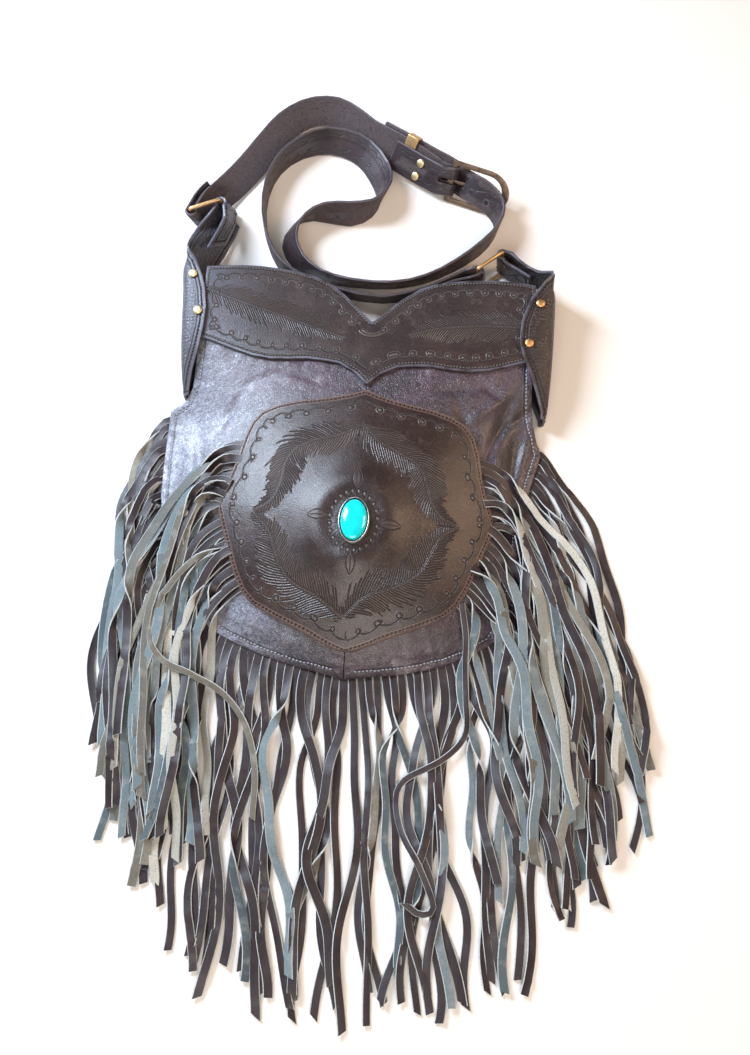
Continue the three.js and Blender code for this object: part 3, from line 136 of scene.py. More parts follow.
class Finish:
    def __init__(self, name, **constants):
        self.material = bpy.data.materials.new(name)
        self.material.use_nodes = True
        self.tree = self.material.node_tree
        self.shader = self.tree.nodes["Principled BSDF"]
        for key, value in constants.items():
            self.shader.inputs[key.replace("_", " ")].default_value = value
        self.place = self.node("ShaderNodeTexCoord", {}, {})["Object"]

    def node(self, kind, settings, sockets):
        made = self.tree.nodes.new(kind)
        for key, value in settings.items():
            if key == "stops":
                self.set_stops(made.color_ramp, value)
            else:
                setattr(made, key, value)
        for key, value in sockets.items():
            if isinstance(value, Sum):
                self.tree.links.new(value.socket, made.inputs[key])
            else:
                made.inputs[key].default_value = value
        return Outputs(self, made)

    def set_stops(self, ramp, stops):
        for position, colour in stops:
            if position in (0, 1):
                stop = ramp.elements[0 if position == 0 else -1]
            else:
                stop = ramp.elements.new(position)
            stop.color = (*colour, 1)

    def attribute(self, name):
        return self.node("ShaderNodeAttribute", {"attribute_name": name}, {})["Fac"]

    def noise(self, size, detail=3, stretch=(1, 1, 1), rough=0.5):
        """Soft noise from 0 to 1 whose lumps are about `size` metres wide."""
        places = self.node("ShaderNodeMapping", {}, {"Vector": self.place, "Scale": stretch})["Vector"]
        values = {"Vector": places, "Scale": 1 / size, "Detail": detail, "Roughness": rough}
        return self.node("ShaderNodeTexNoise", {}, values)["Fac"]

    def cells(self, size, feature="F1", jitter=1.0):
        """Distance within cells about `size` metres wide."""
        values = {"Vector": self.place, "Scale": 1 / size, "Randomness": jitter}
        return self.node("ShaderNodeTexVoronoi", {"feature": feature}, values)["Distance"]

    def ramp(self, value, *stops):
        return self.node("ShaderNodeValToRGB", {"stops": stops}, {"Fac": value})["Color"]

    def mix(self, share, first, second, blend="MIX"):
        settings = {"data_type": "RGBA", "blend_type": blend}
        sockets = {"Factor": share}
        for key, value in ((6, first), (7, second)):
            sockets[key] = value if isinstance(value, Sum) else (*value, 1)
        return self.node("ShaderNodeMix", settings, sockets)[2]

    def bump(self, height, depth, below=None):
        """Normal of a height from 0 to 1 that stands for `depth` metres."""
        sockets = {"Height": height, "Distance": depth, "Strength": 1.0}
        if below is not None:
            sockets["Normal"] = below
        return self.node("ShaderNodeBump", {}, sockets)["Normal"]

    def wear(self, colour, roughness=None, normal=None):
        """Links what varies to the shader and gives the material."""
        for key, value in (("Base Color", colour), ("Roughness", roughness), ("Normal", normal)):
            if value is not None:
                self.tree.links.new(value.socket, self.shader.inputs[key])
        return self.material


class Outputs:
    def __init__(self, finish, made):
        self.finish = finish
        self.made = made

    def __getitem__(self, key):
        return Sum(self.finish, self.made.outputs[key])


bpy.ops.mesh.primitive_plane_add(size=8, location=(0, 0, -0.0002))
floor = bpy.context.object
floor.name = "floor"
paper = Finish("pale_floor", Roughness=0.75)
paper_tone = paper.ramp(paper.noise(0.5, 2), (0, (0.90, 0.84, 0.78)), (1, (0.94, 0.89, 0.84)))
floor.data.materials.append(paper.wear(colour=paper_tone))


# Pouch: two soft front panels and a back panel of milled cowhide, sewn edge to edge and turned out.
# Each is a welded copy of its solid with rounded cut edges, smoothed; the front panels are also creased and
# folded.
def select_only(piece):
    bpy.ops.object.select_all(action="DESELECT")
    piece.select_set(True)
    bpy.context.view_layer.objects.active = piece


def leather_copy(node, name, levels, round_off=0.0006, rounds=2):
    """A piece in the form of a CAD node: welded, its rims rounded, then smoothed."""
    piece = bpy.data.objects.new(name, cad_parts[node].data.copy())
    bpy.context.collection.objects.link(piece)
    piece.data.materials.clear()
    select_only(piece)
    bpy.ops.object.mode_set(mode="EDIT")
    bpy.ops.mesh.select_all(action="SELECT")
    bpy.ops.mesh.remove_doubles(threshold=0.000002)
    bpy.ops.mesh.tris_convert_to_quads(face_threshold=math.radians(60), shape_threshold=math.radians(60))
    bpy.ops.mesh.select_all(action="DESELECT")
    bpy.ops.mesh.edges_select_sharp(sharpness=math.radians(62))
    bpy.ops.mesh.bevel(offset=round_off, segments=rounds)
    bpy.ops.object.mode_set(mode="OBJECT")
    if levels:
        smooth = piece.modifiers.new("smooth", "SUBSURF")
        smooth.levels = smooth.render_levels = levels
        bpy.ops.object.modifier_apply(modifier="smooth")
    bpy.ops.object.shade_smooth()
    return piece


def finish_piece(piece, material, slot, *nodes):
    """Gives a piece its material, if one is given, and lets it stand for its CAD nodes, which it hides;
    `slot` is not used.
    """
    if material is not None:
        piece.data.materials.clear()
        piece.data.materials.append(material)
    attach(piece, "root")
    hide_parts(*nodes)
    return piece


def vertex_array(piece):
    values = np.zeros(len(piece.data.vertices) * 3)
    piece.data.vertices.foreach_get("co", values)
    return values.reshape(-1, 3)


def move_vertices(piece, co):
    piece.data.vertices.foreach_set("co", co.ravel())
    piece.data.update()


def store(piece, name, values):
    """Keeps one number for each vertex of a piece, for its material."""
    layer = piece.data.attributes.new(name, "FLOAT", "POINT")
    layer.data.foreach_set("value", np.asarray(values, np.float32))


def eased(start, end, value):
    t = np.clip((value - start) / (end - start), 0, 1)
    return t * t * (3 - 2 * t)


def rim_of(node, thick):
    """Rim lines round both faces of a sheet-like CAD node: points, each with its face's normal."""
    sheet = bmesh.new()
    sheet.from_mesh(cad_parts[node].data)
    bmesh.ops.remove_doubles(sheet, verts=sheet.verts, dist=0.000002)
    through = [e for e in sheet.edges if abs(e.calc_length() - thick) < 0.00003]
    walls = {f for e in through for f in e.link_faces}
    partner = {}
    for e in through:
        a, b = e.verts
        partner[a], partner[b] = b, a
    across = set(through)
    joined = {}
    for e in sheet.edges:
        if e not in across and sum(f in walls for f in e.link_faces) == 1:
            a, b = e.verts
            if a in partner and b in partner:
                joined.setdefault(a, []).append(b)
                joined.setdefault(b, []).append(a)
    lines, seen = [], set()
    for start in joined:
        if start in seen:
            continue
        line = [start]
        seen.add(start)
        onward = joined[start][:1]
        while onward:
            seen.add(onward[0])
            line.append(onward[0])
            onward = [v for v in joined[line[-1]] if v not in seen]
        line.append(start)
        lines.append([(v.co.copy(), (v.co - partner[v].co).normalized()) for v in line])
    sheet.free()
    return lines


class Rim:
    """Nearest place on a sheet's rim: how far off, how far along its line, which line, which corner."""

    def __init__(self, lines, spacing=0.001):
        self.marks, self.around, corners = [], [], []
        for number, line in enumerate(lines):
            travelled = 0.0
            for (a, _), (b, _) in zip(line, line[1:]):
                length = (b - a).length
                steps = max(1, round(length / spacing))
                for k in range(steps):
                    self.marks.append((a.lerp(b, k / steps), travelled + length * k / steps, number))
                travelled += length
            self.around.append(travelled)
            points = [p for p, _ in line[:-1]]
            for k, p in enumerate(points):
                before, after = p - points[k - 1], points[(k + 1) % len(points)] - p
                if before.angle(after, 0) > math.radians(42):
                    corners.append(p)
        self.tree = self.tree_of([p for p, _, _ in self.marks])
        self.corners = self.tree_of(corners or [Vector((9, 9, 9))])

    def tree_of(self, points):
        tree = kdtree.KDTree(len(points))
        for i, p in enumerate(points):
            tree.insert(p, i)
        tree.balance()
        return tree

    def read(self, co):
        found = [self.tree.find(p) for p in co]
        far = np.array([gap for _, _, gap in found])
        run = np.array([self.marks[mark][1] for _, mark, _ in found])
        line = np.array([self.marks[mark][2] for _, mark, _ in found])
        corner = np.array([self.corners.find(p)[2] for p in co])
        return far, run, line, corner


panel_thick, seam_inset = 0.0022, 0.0062
# Small folds: x, y, turn in degrees, half length, half width and depth, the rest in metres
creases = {
    "left": [
        (-0.150, 0.060, 100, 0.045, 0.006, -0.0020), (-0.135, -0.030, 112, 0.040, 0.005, -0.0016),
        (-0.125, 0.100, 60, 0.028, 0.005, -0.0015), (-0.090, 0.135, 20, 0.026, 0.004, -0.0012),
        (-0.160, 0.020, 88, 0.050, 0.007, 0.0018), (-0.060, 0.128, 165, 0.022, 0.004, 0.0010),
        (-0.120, -0.085, 140, 0.030, 0.005, -0.0015), (-0.080, -0.112, 165, 0.028, 0.004, -0.0012),
    ],
    "right": [
        (0.126, 0.104, 70, 0.036, 0.005, -0.0046), (0.112, 0.116, 42, 0.030, 0.005, 0.0030),
        (0.140, 0.070, 84, 0.038, 0.006, -0.0044), (0.152, 0.088, 76, 0.034, 0.005, 0.0028),
        (0.146, 0.118, 40, 0.026, 0.004, -0.0030), (0.096, 0.098, 118, 0.030, 0.006, -0.0024),
        (0.128, 0.060, 100, 0.030, 0.005, 0.0022), (0.085, 0.134, 12, 0.030, 0.005, -0.0020),
        (0.118, 0.135, 150, 0.022, 0.004, -0.0018), (0.138, 0.020, 96, 0.036, 0.005, -0.0020),
        (0.118, -0.070, 62, 0.032, 0.005, -0.0020), (0.070, -0.118, 15, 0.028, 0.004, -0.0012),
    ],
}


def fold(piece, rows):
    """Presses folds into a soft panel, both faces together."""
    co = vertex_array(piece)
    for x, y, turn, long, wide, deep in rows:
        c, s = math.cos(math.radians(turn)), math.sin(math.radians(turn))
        u = ((co[:, 0] - x) * c + (co[:, 1] - y) * s) / long
        v = ((co[:, 1] - y) * c - (co[:, 0] - x) * s) / wide
        co[:, 2] += deep * np.exp(-u * u - v * v)
    move_vertices(piece, co)


def gather(piece, node, deep, seed):
    """Gathers a soft panel a little along its seams and keeps how far each place is from its rim."""
    rng = random.Random(seed)
    co = vertex_array(piece)
    far, run, _, _ = Rim(rim_of(node, panel_thick), 0.002).read(co)
    wave = sum(np.sin(run * 2 * math.pi / long + rng.uniform(0, 6)) for long in (0.0105, 0.017, 0.029))
    co[:, 2] += deep * wave * np.exp(-far / 0.014) * eased(0.0, 0.004, far)
    move_vertices(piece, co)
    store(piece, "rim", far)


def soft_leather():
    soft = Finish("milled_cowhide", Specular_IOR_Level=1.0, Coat_Weight=0.35, Coat_Roughness=0.38)
    spot = soft.node("ShaderNodeSeparateXYZ", {}, {"Vector": soft.place})
    rim = soft.attribute("rim")
    grain = soft.cells(0.0017, "DISTANCE_TO_EDGE").rise(0.0, 0.25)
    fine = soft.noise(0.0008, 2)
    broad = soft.noise(0.05, 4)
    patches = soft.noise(0.013, 5, rough=0.62)
    # Painted glare: the left of the pouch is coloured pale blue-grey for the window's glare on it, blending
    # into the leather's own plum towards the right; the edge of the glare reaches further right low on the
    # pouch and less far near its top.
    painted_glare = soft.ramp(broad, (0.3, (0.19, 0.20, 0.26)), (0.7, (0.42, 0.45, 0.55)))
    plum = soft.ramp(broad, (0.34, (0.017, 0.007, 0.012)), (0.64, (0.080, 0.038, 0.066)))
    height = spot["Y"].rise(-0.09, -0.02) * 0.05 + spot["Y"].rise(0.11, 0.17) * 0.03
    glare_fade = spot["X"] + patches * 0.09 + height - 0.095
    tone = soft.mix(glare_fade.rise(-0.19, -0.045), painted_glare, plum)
    pits = soft.noise(0.0032, 3, rough=0.7)
    mottled = soft.ramp(pits, (0.36, (0.55, 0.55, 0.55)), (0.64, (1.45, 1.42, 1.42)))
    tone = soft.mix(1.0, tone, mottled, "MULTIPLY")
    tone = soft.mix(grain.rise(1, 0) * 0.4, tone, (0.010, 0.007, 0.009))
    tone = soft.mix(patches.rise(0.56, 0.74) * 0.25, tone, (0.13, 0.10, 0.115))
    gloss = 0.36 + patches * 0.16 + grain * -0.05
    pebbles = soft.bump(grain * 0.7 + fine * 0.3, 0.0003)
    sunk = rim.band(seam_inset, 0.0001, 0.0024) * abs(spot["X"]).rise(0.008, 0.014)
    # Painted shade: the sunken groove of the seam along the rim is darkened.
    tone = soft.mix(sunk * 0.45, tone, (0.014, 0.010, 0.013))
    normal = soft.bump(soft.noise(0.013, 3) - sunk * 0.5, 0.0018, pebbles)
    return soft.wear(colour=tone, roughness=gloss, normal=normal)


cowhide = soft_leather()
for side in ("left", "right"):
    panel = leather_copy(f"front_panel_{side}", f"pouch_front_{side}", 3)
    fold(panel, creases[side])
    gather(panel, f"front_panel_{side}", 0.00038, side)
    finish_piece(panel, cowhide, "soft_leather", f"front_panel_{side}")
back_piece = leather_copy("back_panel", "pouch_back", 2)
gather(back_piece, "back_panel", 0.0, 5)
finish_piece(back_piece, cowhide, "soft_leather", "back_panel")


# Stiff harness leather: yokes, side pieces and shield, dyed dark brown, tooled while damp, with
# burnished cut edges. Its patterns read how far a place lies from the cut rim and how far round it is.
stiff_thick = 0.0028


def mark_rim(piece, node, thick, pitch):
    """Keeps for a piece's material how far each place is from its rim and from a corner of it, and how
    far round the rim it is, in whole pitches, for each corner of a face."""
    lines = rim_of(node, thick)
    rim = Rim(lines)
    far, run, line, corner = rim.read(vertex_array(piece))
    around = np.array(rim.around)
    whole = np.maximum(1, np.round(around / pitch)) * pitch
    run, goes = run / around[line] * whole[line], whole[line]
    store(piece, "rim", far)
    store(piece, "corner", corner)
    vertex = np.zeros(len(piece.data.loops), int)
    piece.data.loops.foreach_get("vertex_index", vertex)
    starts = np.zeros(len(piece.data.polygons), int)
    piece.data.polygons.foreach_get("loop_start", starts)
    opens = np.zeros(len(vertex), int)
    opens[starts] = 1
    face = np.cumsum(opens) - 1
    late = np.full(len(starts), -1.0)
    np.maximum.at(late, face, run[vertex])
    behind = late[face] - run[vertex] > goes[vertex] / 2
    layer = piece.data.attributes.new("run", "FLOAT", "CORNER")
    layer.data.foreach_set("value", (run[vertex] + behind * goes[vertex]).astype(np.float32))
    return lines, line


def evenly(line, count):
    """The same flat line with evenly spaced points."""
    steps = np.concatenate([[0], np.cumsum(np.linalg.norm(np.diff(line, axis=0), axis=1))])
    goals = np.linspace(0, steps[-1], count)
    return np.stack([np.interp(goals, steps, line[:, k]) for k in (0, 1)], axis=1)


def smooth_curve(points, count):
    """A smooth flat line through a few points."""
    p = np.array(points, float)
    p = np.vstack([2 * p[0] - p[1], p, 2 * p[-1] - p[-2]])
    out = []
    for k in range(1, len(p) - 2):
        for t in np.linspace(0, 1, 24, endpoint=False):
            a, b, c, d = p[k - 1:k + 3]
            bend, twist = 2 * a - 5 * b + 4 * c - d, 3 * b - a - 3 * c + d
            out.append(0.5 * (2 * b + (c - a) * t + bend * t * t + twist * t ** 3))
    out.append(p[-2])
    return evenly(np.array(out), count)


def draw_feathers(piece, rows, wide):
    """Keeps where a piece's places lie on its feathers: along the quill, off it, and how far inside."""
    co = vertex_array(piece)
    quill, vane, plume = np.zeros(len(co)), np.zeros(len(co)), np.full(len(co), -1.0)
    for row in rows:
        line = smooth_curve(row, 120)
        step = np.linalg.norm(line[1] - line[0])
        long = step * (len(line) - 1)
        way = np.gradient(line, axis=0)
        way /= np.linalg.norm(way, axis=1)[:, None]
        off = co[:, None, :2] - line[None]
        near = np.argmin((off * off).sum(axis=2), axis=1)
        rows_at = np.arange(len(co))
        side = off[rows_at, near, 0] * -way[near, 1] + off[rows_at, near, 1] * way[near, 0]
        ahead = (off[rows_at, near] * way[near]).sum(axis=1)
        s = near * step + ahead
        share = s / long
        half = wide * np.sqrt(eased(-0.04, 0.28, share)) * np.sqrt(1 - eased(0.6, 1.03, share))
        inside = np.where((share > 0) & (share < 1), 1 - np.abs(side) / np.maximum(half, 0.0005), -1)
        better = inside > plume
        quill, vane = np.where(better, s, quill), np.where(better, side, vane)
        plume = np.maximum(plume, inside)
    store(piece, "quill", quill)
    store(piece, "vane", vane)
    store(piece, "plume", plume)
    return plume


def scalloped_border(hide, rim, pitch, inset, ball):
    """What a row of arcs with a ring between them presses in and leaves raised, off a cut edge."""
    across = abs((hide.attribute("run") % pitch) - pitch / 2)
    bend = across / (pitch / 2)
    bowed = rim - inset - bend * bend * 0.0034
    ends = across.rise(pitch / 2, pitch / 2 - 0.001)
    cusp = across - pitch / 2
    down = rim - inset - 0.0034 - ball * 0.55
    reach = (cusp * cusp + down * down).power(0.5)
    seen = hide.attribute("corner").rise(inset * 1.1, inset * 1.5)
    press = (bowed.band(0, 0.00035, 0.0006) * ends).most(reach.band(ball, 0.0003, 0.0006))
    lit = (bowed - 0.0011).band(0, 0.0001, 0.0006) * ends * 0.8
    lit = lit.most(reach.rise(ball * 0.8, ball * 0.3)).most(reach.band(ball + 0.0010, 0.0002, 0.0005) * 0.9)
    return press * seen, lit * seen


def pearled_field(hide, rim):
    """Small round stamps all over, inside a line along the edge."""
    field = rim.rise(0.0078, 0.0088)
    pearl = hide.cells(0.0034, jitter=0.45)
    press = (pearl.rise(0.36, 0.5) * field * 0.5).most(rim.band(0.0072, 0.0003, 0.0005))
    return press, pearl.rise(0.34, 0.16) * field * 0.35


def barbed_feathers(hide):
    """Feathers with a double quill and slanting barbs of uneven length."""
    along, off, plume = hide.attribute("quill"), hide.attribute("vane"), hide.attribute("plume")
    quill = plume.rise(0, 0.2)
    sway = hide.noise(0.012, 2) * 0.0022
    barbs = (along - abs(off) * 0.95 + sway) / 0.0027
    barb = barbs % 1
    number = barbs.work("FLOOR") + off.rise(-0.0001, 0.0001) * 500
    chance = hide.node("ShaderNodeTexWhiteNoise", {"noise_dimensions": "1D"}, {"W": number})["Value"]
    inside = (plume + hide.noise(0.0020, 2) * 0.3 + chance * 0.55 - 0.5).rise(0.0, 0.12)
    groove = barb.band(0.5, 0.05, 0.22) * inside * abs(off).rise(0.0006, 0.0016)
    stem = abs(off).band(0, 0.0002, 0.0003) * quill
    beside = abs(off).band(0.0014, 0.0002, 0.0004) * quill
    ridge = barb.band(0.0, 0.02, 0.25).most(barb.band(1.0, 0.02, 0.25)) * inside
    shine = abs(off).band(0.0008, 0.0001, 0.0003) * quill
    return groove.most(beside).most(stem * 0.35), (ridge * (0.6 + chance * 0.4)).most(shine * 0.7)


def ringed_seat(spot, middle_y, x_half, y_half, count, leaves):
    """A ring of stamped dots round the stone's seat and a leaf beyond it on each side."""
    x, y = spot["X"], spot["Y"] - middle_y
    u, v = x / x_half, y / y_half
    radius = (x_half + y_half) / 2
    reach = ((u * u + v * v).power(0.5) - 1) * radius
    turn = v.work("ARCTAN2", u) * (count / (2 * math.pi))
    apart = ((turn + 100) % 1 - 0.5) * (2 * math.pi * radius / count)
    dot = (reach * reach + apart * apart).power(0.5)
    press, crest = dot.band(0.0020, 0.0002, 0.0005), dot.rise(0.0014, 0.0006)
    for leaf_x, leaf_y, way_x, way_y, long, half in leaves:
        p = (x - leaf_x) * way_x + (y - leaf_y) * way_y
        q = abs((x - leaf_x) * -way_y + (y - leaf_y) * way_x)
        lens = half - p * p * (half / (long * long))
        outline = (q - lens).band(0, 0.0002, 0.0005) * abs(p).rise(long, long - 0.0008)
        vein = q.rise(0.0006, 0.0002) * abs(p).rise(long * 0.8, long * 0.6)
        press = press.most(outline).most(vein)
        crest = crest.most((lens - q).rise(0.0002, 0.0012) * 0.35)
    return press, crest


def tooled_leather(name, holes, border=None, feather=False, seat=None, pearled=False, strip=None,
                   raw=(0.10, 0.095, 0.125), edge_at=0.0014):
    """Leather with its marks pressed in and rubbed lighter in patches, and a sewn groove along its edge,
    with painted light on it: a painted glare on the left, painted highlights on what the marks leave raised
    and painted shade in the marks and the stitch holes; `holes` gives how far apart the stitch holes are,
    how far in from the edge, and their radius."""
    hide = Finish(name, Specular_IOR_Level=0.7)
    rim = hide.attribute("rim")
    spot = hide.node("ShaderNodeSeparateXYZ", {}, {"Vector": hide.place})
    pores = hide.noise(0.0010, 3)
    rub = hide.noise(0.011, 5, rough=0.6)
    tone = hide.ramp(hide.noise(0.045, 4), (0.25, (0.017, 0.0085, 0.0078)), (0.55, (0.036, 0.0195, 0.0175)),
                     (0.8, (0.060, 0.036, 0.030)))
    tone = hide.mix(rub.rise(0.52, 0.78) * 0.5, tone, (0.088, 0.056, 0.050))
    pits = hide.noise(0.0024, 3, rough=0.7)
    mottled = hide.ramp(pits, (0.36, (0.62, 0.62, 0.62)), (0.64, (1.35, 1.35, 1.35)))
    tone = hide.mix(1.0, tone, mottled, "MULTIPLY")
    # Painted glare: the left of the bag is tinted pale blue-grey for the window's glare there, with a ragged
    # edge.
    tone = hide.mix((spot["X"] + rub * 0.08).rise(-0.05, -0.14) * 0.55, tone, (0.13, 0.14, 0.185))

    marks = []
    if border:
        marks.append(scalloped_border(hide, rim, *border))
    if pearled:
        marks.append(pearled_field(hide, rim))
    if feather:
        marks.append(barbed_feathers(hide))
    if seat:
        marks.append(ringed_seat(spot, *seat))
    apart, inset, size = holes
    beside = abs((hide.attribute("run") + apart / 2) % apart - apart / 2)
    from_hole = (beside * beside + (rim - inset) * (rim - inset)).power(0.5)
    deep = from_hole.rise(size + 0.0004, size - 0.0001)
    press, crest = (rim - inset).band(0, 0.0005, 0.0006) * 0.45, pores * 0
    for pressed, raised in marks:
        press, crest = press.most(pressed), crest.most(raised)

    # Painted highlight on what the marks leave raised.
    tone = hide.mix(crest * 0.6, tone, (0.17, 0.125, 0.11))
    # Painted shade in the pressed marks.
    tone = hide.mix(press * 0.85, tone, (0.005, 0.0035, 0.0035))
    if strip:
        tone = hide.mix(rim.rise(0.0056, 0.0046) * 0.75, tone, strip)
    # Painted shade in the stitch holes.
    tone = hide.mix(deep, tone, (0.003, 0.002, 0.002))
    tone = hide.mix(rim.rise(edge_at + 0.0012, edge_at) * rub.rise(0.3, 0.6), tone, raw)
    gloss = 0.22 + pores * 0.14 + rub * 0.14 - crest * 0.06 + press * 0.25
    height = 0.5 - press * 0.5 + crest * 0.28 + hide.noise(0.005, 2) * 0.10 - deep
    skin = hide.bump(pores + rub * 0.5, 0.0003)
    return hide.wear(colour=tone, roughness=gloss, normal=hide.bump(height, 0.0010, skin))


def new_piece(name, verts, faces):
    mesh = bpy.data.meshes.new(name)
    mesh.from_pydata(verts, [], faces)
    piece = bpy.data.objects.new(name, mesh)
    bpy.context.collection.objects.link(piece)
    select_only(piece)
    return piece


def tree_of(piece):
    return bvhtree.BVHTree.FromObject(piece, bpy.context.evaluated_depsgraph_get())


class Thread:
    """Rows of sewn stitches: each a short bowed capsule that dips into the leather at both ends."""

    def __init__(self, name, long=0.0021, thick=0.0005):
        self.name, self.long, self.thick = name, long, thick
        self.verts, self.faces = [], []

    def stitch(self, place, way, up):
        side = up.cross(way).normalized()
        start = len(self.verts)
        for u, size in ((-1, 0.55), (-0.45, 1.08), (0.45, 1.08), (1, 0.55)):
            centre = place + way * (u * self.long / 2) + up * (self.thick * (0.9 - 1.5 * u * u))
            for k in range(5):
                a = math.pi * (0.5 + 0.4 * k)
                self.verts.append(centre + (side * math.cos(a) + up * math.sin(a)) * (self.thick * size))
        for r in range(3):
            for k in range(5):
                a, b = start + 5 * r + k, start + 5 * r + (k + 1) % 5
                self.faces.append((a, b, b + 5, a + 5))
        self.faces.append(tuple(start + k for k in (4, 3, 2, 1, 0)))
        self.faces.append(tuple(start + 15 + k for k in range(5)))

    def seat(self, tree, rim_point, up, inward, inset):
        """Place on a steep outer face, its normal and how far it is from lying `inset` off the rim."""
        seats = []
        for share in (1, 0.9, 0.8, 0.7, 0.6, 0.5, 0.4):
            place, normal, _, _ = tree.ray_cast(rim_point + inward * (inset * share) + up * 0.04, -up, 0.08)
            if place is not None:
                seats.append((place, normal, 0, abs((place - rim_point).length - inset)))
        return min(seats, key=lambda spot: spot[3]) if seats else (rim_point, -up, 0, 1)

    def follow(self, piece, lines, inset, pitch, whole, keep, covers=(), steep=False):
        """Sews along rim lines at `inset` from them, in step with a border of pitch `whole`, where
        keep(place, normal) says so."""
        tree, over = tree_of(piece), [tree_of(cover) for cover in covers]
        for line in lines:
            around = sum((b - a).length for (a, _), (b, _) in zip(line, line[1:]))
            apart = around / max(1, round(around / whole)) * pitch / whole
            travelled, goal = 0.0, apart / 2
            for (a, up_a), (b, up_b) in zip(line, line[1:]):
                length = (b - a).length
                while goal <= travelled + length:
                    t = (goal - travelled) / length
                    p, up, way = a.lerp(b, t), up_a.lerp(up_b, t).normalized(), (b - a).normalized()
                    goal += apart
                    inward = up.cross(way)
                    if steep:
                        spots = [self.seat(tree, p, up, inward * sign, inset) for sign in (1, -1)]
                    else:
                        spots = [tree.find_nearest(p + inward * inset * sign) for sign in (1, -1)]
                    place, normal, _, gap = min(spots, key=lambda spot: spot[3])
                    if normal.dot(up) < (0.15 if steep else 0.6) or gap > 0.003 or not keep(place, normal):
                        continue
                    if any(c.ray_cast(place + normal * 0.001, normal, 0.03)[0] is not None for c in over):
                        continue
                    self.stitch(place, (way - normal * way.dot(normal)).normalized(), normal)
                travelled += length

    def build(self, material, slot):
        piece = new_piece(self.name, self.verts, self.faces)
        bpy.ops.object.shade_smooth()
        finish_piece(piece, material, slot)


def thread_finish(name, dark, light):
    cotton = Finish(name, Roughness=0.7)
    twist = cotton.noise(0.0005, 2)
    tone = cotton.ramp(twist, (0.3, dark), (0.7, light))
    return cotton.wear(colour=tone, normal=cotton.bump(twist, 0.0001))


dark_thread = thread_finish("dark_waxed_thread", (0.006, 0.004, 0.004), (0.016, 0.012, 0.011))
brown_thread = thread_finish("brown_waxed_thread", (0.07, 0.040, 0.032), (0.16, 0.10, 0.08))
bright_thread = thread_finish("bright_waxed_thread", (0.26, 0.27, 0.31), (0.50, 0.52, 0.58))
pale_thread = thread_finish("pale_waxed_thread", (0.10, 0.09, 0.085), (0.26, 0.24, 0.22))

side_pitch, side_stitch, side_inset = 0.014, 0.0035, 0.0040
side_leather = tooled_leather("gusset_leather", (side_stitch, side_inset, 0.0005), pearled=True)
for side in ("left", "right"):
    gusset = leather_copy(f"gusset_{side}", f"side_piece_{side}", 2)
    rims, _ = mark_rim(gusset, f"gusset_{side}", stiff_thick, side_pitch)
    finish_piece(gusset, side_leather, "tooled_leather", f"gusset_{side}")
    thread = Thread(f"side_stitches_{side}")
    thread.follow(gusset, rims, side_inset, side_stitch, side_pitch, lambda place, normal: place.y > 0.115)
    thread.build(dark_thread, "tooled_leather")

yoke_feathers = [
    [(-0.158, 0.218), (-0.119, 0.206), (-0.0875, 0.197), (-0.0532, 0.186), (-0.022, 0.176)],
    [(0.148, 0.199), (0.122, 0.199), (0.0992, 0.1984), (0.0642, 0.1935), (0.034, 0.184)],
]
yoke_pitch, yoke_stitch, yoke_inset = 0.0148, 0.00296, 0.0034
yoke_leather = tooled_leather("yoke_leather", (yoke_stitch, yoke_inset, 0.0005),
                              border=(yoke_pitch, 0.0092, 0.0021), feather=True)
covers = [bpy.data.objects["side_piece_left"], bpy.data.objects["side_piece_right"]]
for which, levels, sign in (("front", 3, 1), ("back", 2, -1)):
    yoke = leather_copy(f"yoke_{which}", f"mouth_yoke_{which}", levels)
    rims, _ = mark_rim(yoke, f"yoke_{which}", stiff_thick, yoke_pitch)
    draw_feathers(yoke, yoke_feathers, 0.0155)
    finish_piece(yoke, yoke_leather, "tooled_leather", f"yoke_{which}")
    thread = Thread(f"yoke_stitches_{which}", 0.0019)
    thread.follow(yoke, rims, yoke_inset, yoke_stitch, yoke_pitch,
                  lambda place, normal: normal.z * sign > 0.4, covers)
    thread.build(pale_thread, "tooled_leather")


# Shield: domed tooled centre piece of the same leather, sewn down over the panels round its rim, with
# four feathers that meet at its points, stamped dots and leaf marks round the raised seat of the stone.
shield_feathers = [
    [(-0.001, 0.082), (-0.0192, 0.0703), (-0.0432, 0.0634), (-0.0591, 0.0537), (-0.0659, 0.0389),
     (-0.0681, 0.0219), (-0.0749, 0.0053), (-0.0902, -0.004)],
    [(-0.0004, 0.0842), (0.0146, 0.0671), (0.0354, 0.0558), (0.0527, 0.0462), (0.0611, 0.0296),
     (0.0658, 0.0139), (0.0754, 0.0018), (0.0904, -0.0029)],
    [(-0.0036, -0.0935), (-0.0261, -0.0779), (-0.0487, -0.0664), (-0.0608, -0.0531), (-0.0678, -0.0371),
     (-0.0744, -0.0218), (-0.0902, -0.0043)],
    [(-0.0028, -0.0925), (0.0145, -0.0755), (0.0395, -0.0649), (0.058, -0.052), (0.0677, -0.0343),
     (0.0755, -0.0174), (0.0915, -0.0033)],
]
